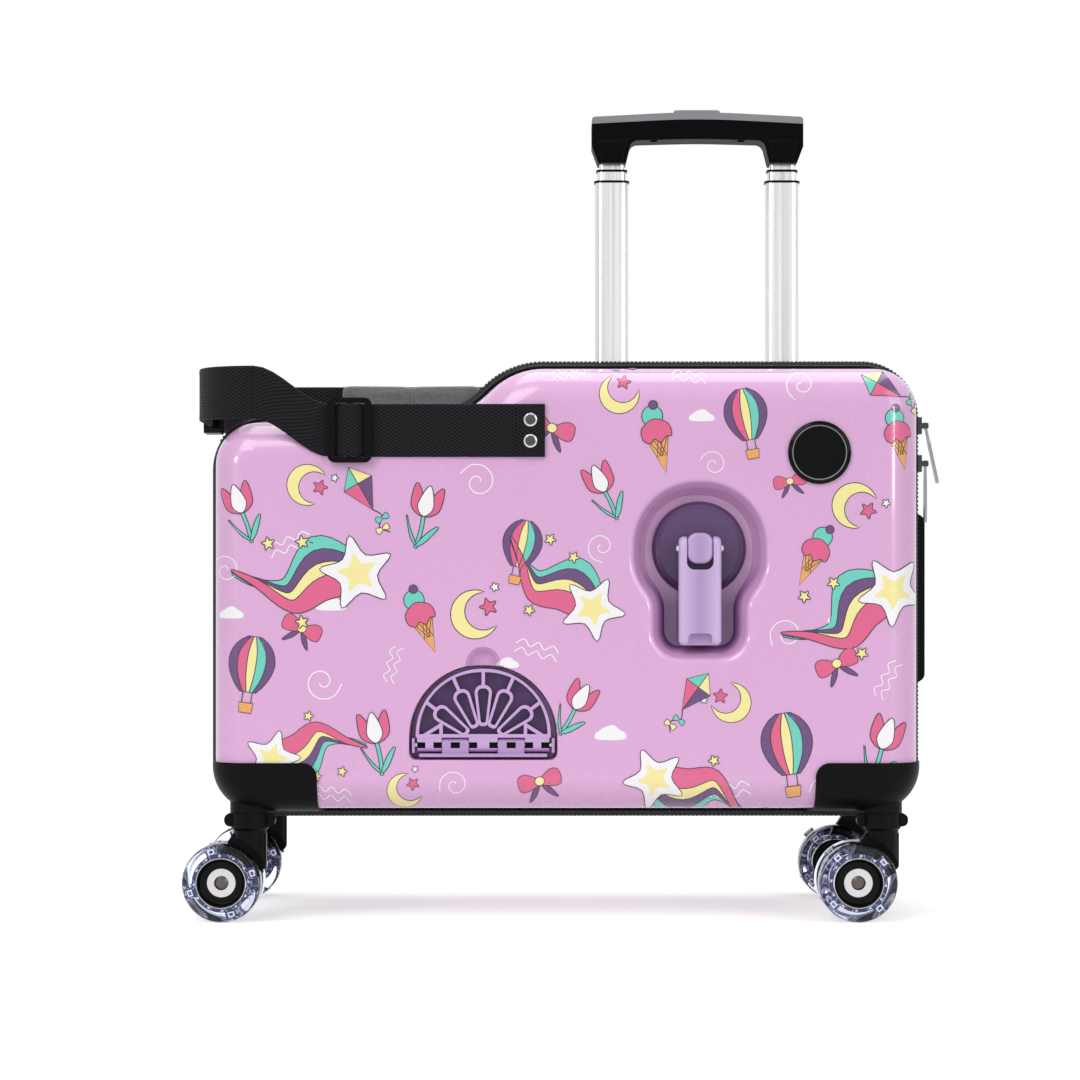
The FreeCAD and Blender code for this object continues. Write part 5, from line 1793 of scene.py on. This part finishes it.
@dataclass
class BackPad:
    """The stuffed pad on the far strap, swollen by a cloth run and sewn across its middle."""

    finishes: Finishes
    low: Triple = (-166.0, 97.5, 342.0)
    high: Triple = (-62.0, 106.6, 380.0)
    rounding: float = 3.2
    voxel: float = 3.5
    swell: float = 3.2
    pressure: float = 4.0
    frames: int = 20
    flat_back: float = 0.8
    seam: float = -114.0
    channel_depth: float = 3.4
    channel_width: float = 5.0
    channel_lift: float = 6.0
    channel_share: float = 0.7
    gather: float = 0.06
    fill: float = 0.55

    def build(self) -> None:
        pad = self._blank()
        self._puff(pad)
        self._sew(pad)
        finer = pad.modifiers.new("smooth", "SUBSURF")
        finer.levels = finer.render_levels = 1
        apply_modifiers(pad)
        pad.data.polygons.foreach_set("use_smooth", [True] * len(pad.data.polygons))
        carry(pad, "far_half")
        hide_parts("belt_pad")

    def _blank(self) -> bpy.types.Object:
        """The pad's slack form: a rounded slab.

        Returns:
            The slab in even cells.
        """
        work = bmesh.new()
        bmesh.ops.create_cube(work, size=1.0)
        low, high = Vector(self.low) * MM, Vector(self.high) * MM
        for vert in work.verts:
            vert.co = Vector([(low[k] + high[k]) / 2 + vert.co[k] * (high[k] - low[k]) for k in range(3)])
        bmesh.ops.bevel(work, geom=work.edges[:], offset=self.rounding * MM, segments=3, affect="EDGES",
                        profile=0.5)
        pad = from_bmesh("belt_back_pad", work, [self.finishes.pad])
        remesh = pad.modifiers.new("remesh", "REMESH")
        remesh.mode = "VOXEL"
        remesh.voxel_size = self.voxel * MM
        apply_modifiers(pad)
        return pad

    def _puff(self, pad: bpy.types.Object) -> None:
        """Swells the slab with a short cloth run, no point moving further than the swell.

        Args:
            pad: The slab.
        """
        rest = [vert.co.copy() for vert in pad.data.vertices]
        cloth = pad.modifiers.new("cloth", "CLOTH")
        cloth.settings.use_pressure = True
        cloth.settings.uniform_pressure_force = self.pressure
        cloth.settings.effector_weights.gravity = 0.0
        scene = bpy.context.scene
        for frame in range(1, self.frames + 1):
            scene.frame_set(frame)
        swollen = [vert.co.copy() for vert in evaluated(pad).vertices]
        pad.modifiers.clear()
        scene.frame_set(1)
        limit = self.swell * MM
        for vert, before, after in zip(pad.data.vertices, rest, swollen):
            move = after - before
            if move.length > limit:
                move = move.normalized() * limit
            if before.y > (self.high[1] - self.flat_back) * MM:
                move.y = min(move.y, 0.0)
            vert.co = before + move

    def _sew(self, pad: bpy.types.Object) -> None:
        """Draws in the middle seam and a lengthwise channel.

        Args:
            pad: The swollen slab.
        """
        middle = (self.low[2] + self.high[2]) / 2
        back = self.high[1]
        for vert in pad.data.vertices:
            x, y, z = vert.co / MM
            cross = math.exp(-((x - self.seam) / (self.channel_width * 0.5)) ** 2)
            across = (z - middle - self.channel_lift) / (self.channel_width * 0.45)
            draw = max(cross, self.channel_share * math.exp(-across ** 2))
            y += (back - y) / (back - self.low[1] + self.swell) * self.channel_depth * draw
            z += (middle - z) * self.gather * cross
            vert.co = Vector((x, y, z)) * MM


# Wheels
@dataclass(frozen=True)
class Casters:
    """Places of the four casters' axles."""

    x: float = 217.0
    y: float = 84.0
    trail: float = 18.0
    axle: float = 27.0

    def middle(self, across: int, side: int) -> Vector:
        """The middle of the axle on one half and one end."""
        return Vector((side * self.x - self.trail, across * self.y, self.axle))


@dataclass
class WheelLights:
    """Circuit ring and lamps cast into each clear tyre."""

    finishes: Finishes
    casters: Casters
    inner: float = 17.3
    outer: float = 20.0
    ring_sides: int = 48
    inside: float = 5.0
    width: float = 17.0
    edge_inner: float = 16.7
    edge_outer: float = 17.1
    edge_proud: float = 0.05
    edge_half: float = 0.35
    plate_out: float = 5.8
    plate_half: float = 0.6
    lamps: int = 4
    lamp_reach: float = 24.4
    lamp_start: float = 18.0
    lamp_lead: float = 11.0
    lamp_overlap: float = 0.8
    lamp_plate: Flat = (7.6, 1.3)
    lamp_face: Triple = (3.4, 4.4, 1.7)
    lamp_core: Triple = (1.8, 2.6, 2.1)
    marks: int = 12
    mark: Triple = (1.1, 1.7, 1.6)

    def build(self) -> None:
        """Makes one piece for each pair of wheels."""
        finishes = [self.finishes.circuit, self.finishes.lamp, self.finishes.steel]
        for half, across in HALVES:
            for end, side in ENDS:
                work = bmesh.new()
                for mirror in (-1, 1):
                    out = mirror * (self.inside + self.width / 2)
                    centre = self.casters.middle(across, side) + Vector((0, out, 0))
                    plate = centre + Vector((0, mirror * self.plate_out, 0))
                    face = centre + Vector((0, mirror * (self.width / 2 + self.edge_proud), 0))
                    self._ring(work, plate, (self.inner, self.outer), self.plate_half, 0)
                    self._ring(work, face, (self.edge_inner, self.edge_outer), self.edge_half, 2)
                    self._lamps(work, plate, self.lamp_start + self.lamp_lead * (1 + side))
                lights = closed_piece(f"{half}_{end}_wheel_lights", work, finishes, False)
                carry(lights, f"{half}_{end}_wheels")

    def _ring(self, work: bmesh.types.BMesh, centre: Vector, radii: Flat, half: float, slot: int) -> None:
        """A band of square section round the hub's axis.

        Args:
            work: The edit mesh that takes it.
            centre: The band's middle.
            radii: Inner and outer radius.
            half: Half its width along the axis.
            slot: The material's slot.
        """
        loops = []
        for radius, depth in ((radii[0], -half), (radii[1], -half), (radii[1], half), (radii[0], half)):
            middle = centre + Vector((0, depth, 0))
            points = hoop(middle, Vector((radius, 0, 0)), Vector((0, 0, radius)), self.ring_sides)
            loops.append([point * MM for point in points])
        cover(work, loops, True, slot)

    def _lamps(self, work: bmesh.types.BMesh, centre: Vector, start: float) -> None:
        """Lamp plates and small marks at even steps round the ring.

        Args:
            work: The edit mesh that takes them.
            centre: The ring's middle.
            start: The first lamp's angle in degrees.
        """
        middle = (self.outer + self.lamp_reach) / 2
        plate = (self.lamp_reach - self.outer + self.lamp_overlap, *self.lamp_plate)
        for index in range(self.lamps):
            angle = start + 360 / self.lamps * index
            self._block(work, centre, angle, middle - self.lamp_overlap / 2, plate, 0)
            self._block(work, centre, angle, middle, self.lamp_face, 1)
            self._block(work, centre, angle, middle, self.lamp_core, 0)
        for index in range(self.marks):
            angle = start + 360 / self.marks * (index + 0.5)
            self._block(work, centre, angle, (self.inner + self.outer) / 2, self.mark, 1)

    @staticmethod
    def _block(work: bmesh.types.BMesh, centre: Vector, angle: float, radius: float, sizes: Triple,
               slot: int) -> None:
        """A block that stands on the ring.

        Args:
            work: The edit mesh that takes it.
            centre: The ring's middle.
            angle: Where it stands, in degrees.
            radius: Distance of the block's middle from the axle.
            sizes: Lengths outward, round and along the axle.
            slot: The material's slot.
        """
        cosine, sine = math.cos(math.radians(angle)), math.sin(math.radians(angle))
        block = bmesh.ops.create_cube(work, size=1.0)["verts"]
        for vert in block:
            x, y, z = (vert.co[k] * sizes[k] for k in range(3))
            out = Vector((cosine, 0, sine)) * (radius + x)
            vert.co = (centre + out + Vector((-sine * y, z, cosine * y))) * MM
        paint(block, slot)


# Hard parts
@dataclass
class HardParts:
    """Finishes for the solids that show as they are."""

    finishes: Finishes
    casters: Casters
    lug_depth: float = 93.6
    hinge_height: float = 121.0
    window_half: float = 2.1
    window_floor: float = 102.3
    window_wall: float = 103.5
    rivet_x: float = -24.4
    rivet_heights: Flat = (327.8, 342.2)
    eyelet_core: float = 3.6
    bolt_head: float = 5.0

    def build(self) -> None:
        """Gives each solid its finish, then the small areas that have another."""
        looks = self.finishes
        for node, material in self._table().items():
            dress(node, material)
        for half, across in HALVES:
            rivets = [(self.rivet_x, height) for height in self.rivet_heights]
            self._repaint(f"belt_rivets_{half}", looks.eyelet_core, self._within(rivets, self.eyelet_core))
            self._repaint(f"{half}_handle_disc", looks.grip, self._on_lug)
            for piece in ("frame", "pedal"):
                self._repaint(f"{half}_footrest_{piece}", looks.black, self._in_window)
            for end, side in ENDS:
                axle = self.casters.middle(across, side)
                bolts = self._within([(axle.x, axle.z)], self.bolt_head)
                self._repaint(f"{half}_{end}_axle", looks.bolt, bolts)

    def _table(self) -> dict[str, bpy.types.Material]:
        """Each solid's main finish.

        Returns:
            Finishes by the solids' names.
        """
        looks = self.finishes
        table = {
            "badge": looks.badge, "zip_sliders": looks.zip_metal, "zip_pull_upper": looks.pull_metal,
            "zip_pull_lower": looks.pull_metal, "carry_handle": looks.black, "trolley_sleeves": looks.tube,
            "trolley_bezel": looks.black, "stage_one_tubes": looks.tube, "stage_one_collars": looks.black,
            "stage_two_tubes": looks.tube, "stage_two_collars": looks.black, "stage_three_tubes": looks.tube,
            "trolley_grip": looks.pull_black, "trolley_cap": looks.cap, "lock_button": looks.cap,
            "belt_slider": looks.black_gloss, "belt_buckle": looks.black_gloss,
        }
        by_half = {
            "handle_disc": looks.disc, "handle_grip": looks.grip, "handle_pin": looks.steel,
            "footrest_frame": looks.frame, "footrest_pedal": looks.pedal, "footrest_pin": looks.steel,
        }
        by_corner = {
            "guard": looks.black, "yoke": looks.black, "axle": looks.steel, "hubs": looks.black_gloss,
            "tyres": looks.tyre,
        }
        for half, _ in HALVES:
            table[f"belt_rivets_{half}"] = looks.steel
            table |= {f"{half}_{piece}": material for piece, material in by_half.items()}
            for end, _ in ENDS:
                table |= {f"{half}_{end}_{piece}": material for piece, material in by_corner.items()}
        return table

    @staticmethod
    def _repaint(node: str, material: bpy.types.Material, chosen: Callable[[list[Vector]], bool]) -> None:
        """Gives some faces of a solid a second finish.

        Args:
            node: The solid's name.
            material: The second finish.
            chosen: Tells from a face's corners in millimetres whether it takes the finish.
        """
        mesh = bpy.data.objects[node].data
        mesh.materials.append(material)
        for polygon in mesh.polygons:
            corners = [mesh.vertices[index].co / MM for index in polygon.vertices]
            polygon.material_index = int(chosen(corners))

    @staticmethod
    def _within(spots: Sequence[Flat], radius: float) -> Callable[[list[Vector]], bool]:
        """A test for faces that lie close to one of some spots in side view.

        Args:
            spots: Places along the case and up.
            radius: How close the faces lie.

        Returns:
            The test, on a face's corners.
        """
        def near(corner: Vector) -> bool:
            """Whether one corner does."""
            return min(math.hypot(corner.x - x, corner.z - z) for x, z in spots) < radius

        return lambda corners: all(near(corner) for corner in corners)

    def _on_lug(self, corners: list[Vector]) -> bool:
        """Whether a face of the disc belongs to its raised lug, which has the grip's colour."""
        return max(abs(corner.y) for corner in corners) > self.lug_depth

    def _in_window(self, corners: list[Vector]) -> bool:
        """Whether a face lies in a small black window of the footrest's hinge knuckles."""
        level = all(abs(corner.z - self.hinge_height) < self.window_half for corner in corners)
        return level and self.window_floor < min(abs(corner.y) for corner in corners) < self.window_wall


@dataclass
class BadgeRing:
    """Thin grey ring let into the badge's dome."""

    finishes: Finishes
    x: float = 172.0
    z: float = 320.0
    radius: float = 18.4
    section: float = 0.5
    flatness: float = 0.5
    steps: int = 72
    sides: int = 8

    def build(self) -> None:
        """Lays the ring on the dome."""
        tree = surface_of("badge")
        size = self.section * MM
        loops = []
        for angle in turns(self.steps):
            out = Vector((math.cos(angle), 0, math.sin(angle)))
            start = Vector((self.x, 0, self.z)) * MM + out * (self.radius * MM) + Vector((0, -1, 0))
            place = tree.ray_cast(start, Vector((0, 1, 0)))[0]
            loops.append(hoop(place, out * size, Vector((0, self.flatness * size, 0)), self.sides))
        work = bmesh.new()
        cover(work, loops, closed=True)
        carry(closed_piece("badge_ring", work, [self.finishes.cap]), "near_half")


@dataclass
class GripSockets:
    """Tapered sockets on the pull grip's legs, and dead-black discs under its bar that are painted shade for
    its screw recesses.
    """

    finishes: Finishes
    foot_half: float = 8.8
    head_half: float = 11.6
    height: float = 17.3
    proud: float = 1.6
    sunk: float = 0.6
    shoulder: float = 3.0
    screw_shade_reach: float = 31.5
    screw_shade_radius: float = 3.0
    screw_shade_tip: float = 0.85
    screw_shade_depth: float = 0.5
    screw_shade_inset: float = 4.5
    screw_shade_sides: int = 24
    steps: int = 20
    rows: int = 12

    def build(self) -> None:
        """Makes the sockets on both faces of both legs, and the discs of painted shade for the screw
        recesses.
        """
        low, high = (Vector(corner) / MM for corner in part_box("trolley_grip"))
        middle = (low.x + high.x) / 2
        tubes = [vertex.co.x / MM for vertex in bpy.data.objects["stage_three_tubes"].data.vertices]
        left = [x for x in tubes if x < middle]
        pitch = middle - (min(left) + max(left)) / 2
        work = bmesh.new()
        for side in (-1, 1):
            for face, out in ((low.y, -1), (high.y, 1)):
                self._socket(work, Vector((middle + side * pitch, face, low.z)), out)
        self._screw_shades(work, middle, low)
        made = closed_piece("pull_grip_sockets", work, [self.finishes.pull_black, self.finishes.screw_recess_shade])
        carry(made, "stage_three")

    def _socket(self, work: bmesh.types.BMesh, foot: Vector, out: int) -> None:
        """One socket's swell on a leg's face.

        Args:
            work: The edit mesh that takes it.
            foot: The middle of the face's lower edge.
            out: The side that the face looks to, along Y.
        """
        across = [-math.cos(math.pi * step / self.steps) for step in range(self.steps + 1)]
        loops = []
        for row in range(self.rows + 1):
            share = row / self.rows
            half = self.foot_half + (self.head_half - self.foot_half) * share
            swell = self.proud * math.sqrt(min(1.0, (1 - share) * self.height / self.shoulder))
            line = [(half * u, out * swell * math.sqrt(max(0.0, 1 - u ** 4))) for u in across]
            line += [(half, -out * self.sunk), (-half, -out * self.sunk)]
            loops.append([(foot + Vector((x, y, self.height * share))) * MM for x, y in line])
        cover(work, loops)

    def _screw_shades(self, work: bmesh.types.BMesh, middle: float, low: Vector) -> None:
        """Dead-black discs of painted shade for the screw recesses, standing a little out of the bar's lower
        side.

        Args:
            work: The edit mesh that takes them.
            middle: The grip's middle along the case.
            low: The low corner of the grip's box.
        """
        tree = surface_of("trolley_grip")
        radius = self.screw_shade_radius * MM
        for side in (-1, 1):
            start = Vector((middle + side * self.screw_shade_reach, low.y + self.screw_shade_inset, low.z)) * MM
            place = tree.ray_cast(start, Vector((0, 0, 1)))[0]
            screw_shade = bmesh.ops.create_cone(work, cap_ends=True, segments=self.screw_shade_sides,
                                         radius1=radius * self.screw_shade_tip, radius2=radius,
                                         depth=2 * self.screw_shade_depth * MM, matrix=Matrix.Translation(place))
            paint(screw_shade["verts"], 1)


# Studio
@dataclass(frozen=True)
class Lamp:
    """A square soft lamp, aimed at a height on the upright axis; metres and watts."""

    name: str
    place: Triple
    aim: float
    size: float
    power: float

    def build(self) -> None:
        """Makes the lamp."""
        light = bpy.data.lights.new(self.name, "AREA")
        light.size = self.size
        light.energy = self.power
        lamp = bpy.data.objects.new(self.name, light)
        lamp.location = self.place
        way = Vector((0, 0, self.aim)) - Vector(self.place)
        lamp.rotation_euler = way.to_track_quat("-Z", "Y").to_euler()
        bpy.context.scene.collection.objects.link(lamp)


@dataclass
class Studio:
    """Pale floor, soft lamps and the photograph's camera."""

    eye: Triple = (-17.9, -2200.0, 222.5)
    focal_pixels: float = 3080.0
    frame_pixels: float = 1080.0
    horizon_pixels: float = 596.0
    sensor: float = 36.0
    floor_size: float = 12.0
    floor_tone: float = 0.86
    fade_start: float = 0.3
    fade_end: float = 2.2
    near_glow: float = 0.5
    surround: float = 0.34
    lamps: tuple[Lamp, ...] = (
        Lamp("key", (-1.1, -1.9, 2.1), 0.25, 1.6, 29), Lamp("fill", (1.7, -1.5, 1.2), 0.25, 1.5, 12),
        Lamp("top", (0.1, 0.3, 2.4), 0.3, 1.8, 26), Lamp("strip_left", (-1.7, -1.5, 0.7), 0.25, 0.3, 6),
        Lamp("strip_right", (1.5, -1.9, 0.5), 0.25, 0.3, 4.5),
    )

    def build(self) -> None:
        """Makes the floor, the world, the lamps and the camera."""
        bpy.context.scene.view_settings.view_transform = "Standard"
        self._floor()
        self._world()
        for lamp in self.lamps:
            lamp.build()
        self._camera()

    @staticmethod
    def _seen(tree: bpy.types.NodeTree) -> bpy.types.NodeSocket:
        """A value of 1 for rays that come from the camera, a mirror or glass.

        Args:
            tree: The tree that takes the nodes.

        Returns:
            The value's output.
        """
        path = add_node(tree, "ShaderNodeLightPath").outputs
        total = path["Is Camera Ray"]
        for name in ("Is Glossy Ray", "Is Transmission Ray"):
            most = add_node(tree, "ShaderNodeMath", {"operation": "MAXIMUM"})
            feed(tree, most.inputs[0], total)
            feed(tree, most.inputs[1], path[name])
            total = most.outputs["Value"]
        return total

    def _floor(self) -> None:
        """A wide pale floor that keeps the shadow and fades to white."""
        work = bmesh.new()
        bmesh.ops.create_grid(work, x_segments=1, y_segments=1, size=self.floor_size)
        shader = Shader("studio_floor")
        place = shader.node("TexCoord").outputs["Object"]
        reach = shader.node("VectorMath", {"operation": "LENGTH"}, Vector=place).outputs["Value"]
        fade = shader.span(reach, 0.0, 1.0, (self.fade_start, self.fade_end), interpolation_type="SMOOTHSTEP")
        base = shader.ramp(fade, (0.0, (self.floor_tone,) * 3 + (1.0,)), (1.0, (0.0, 0.0, 0.0, 1.0)))
        glow = shader.math("MULTIPLY", self._seen(shader.tree), shader.span(fade, self.near_glow, 1.0))
        shader.set(Base_Color=base, Roughness=0.9, Specular_IOR_Level=0.1, Emission_Color=(1, 1, 1, 1),
                   Emission_Strength=glow)
        from_bmesh("studio_floor", work, [shader.material], False)

    def _world(self) -> None:
        """A white surround that lights softly and shows white."""
        world = bpy.data.worlds.new("studio_world")
        bpy.context.scene.world = world
        world.use_nodes = True
        tree = world.node_tree
        background = tree.nodes["Background"].inputs
        strength = add_node(tree, "ShaderNodeMapRange", Value=self._seen(tree), To_Min=self.surround,
                            To_Max=1.0)
        feed(tree, background["Color"], (1, 1, 1, 1))
        feed(tree, background["Strength"], strength.outputs["Result"])

    def _camera(self) -> None:
        """A level camera in front of the near side, framed as the photograph is."""
        data = bpy.data.cameras.new("camera")
        data.sensor_width = self.sensor
        data.lens = self.focal_pixels / self.frame_pixels * self.sensor
        data.shift_y = (self.horizon_pixels - self.frame_pixels / 2) / self.frame_pixels
        camera = bpy.data.objects.new("camera", data)
        camera.location = Vector(self.eye) * MM
        camera.rotation_euler = (math.radians(90), 0, 0)
        bpy.context.scene.collection.objects.link(camera)
        bpy.context.scene.camera = camera


def main() -> None:
    """Loads the frame, dresses it and builds the pieces that the solids don't show."""
    logging.basicConfig(level=logging.INFO, format="%(name)s %(message)s")
    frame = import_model()
    finishes, casters = Finishes(), Casters()
    Studio().build()
    HardParts(finishes, casters).build()
    BadgeRing(finishes).build()
    GripSockets(finishes).build()
    Shells(finishes).build()
    Zip(finishes, CaseShape()).build()
    Belt(finishes).build()
    BackPad(finishes).build()
    WheelLights(finishes, casters).build()


if __name__ == "__main__":
    main()
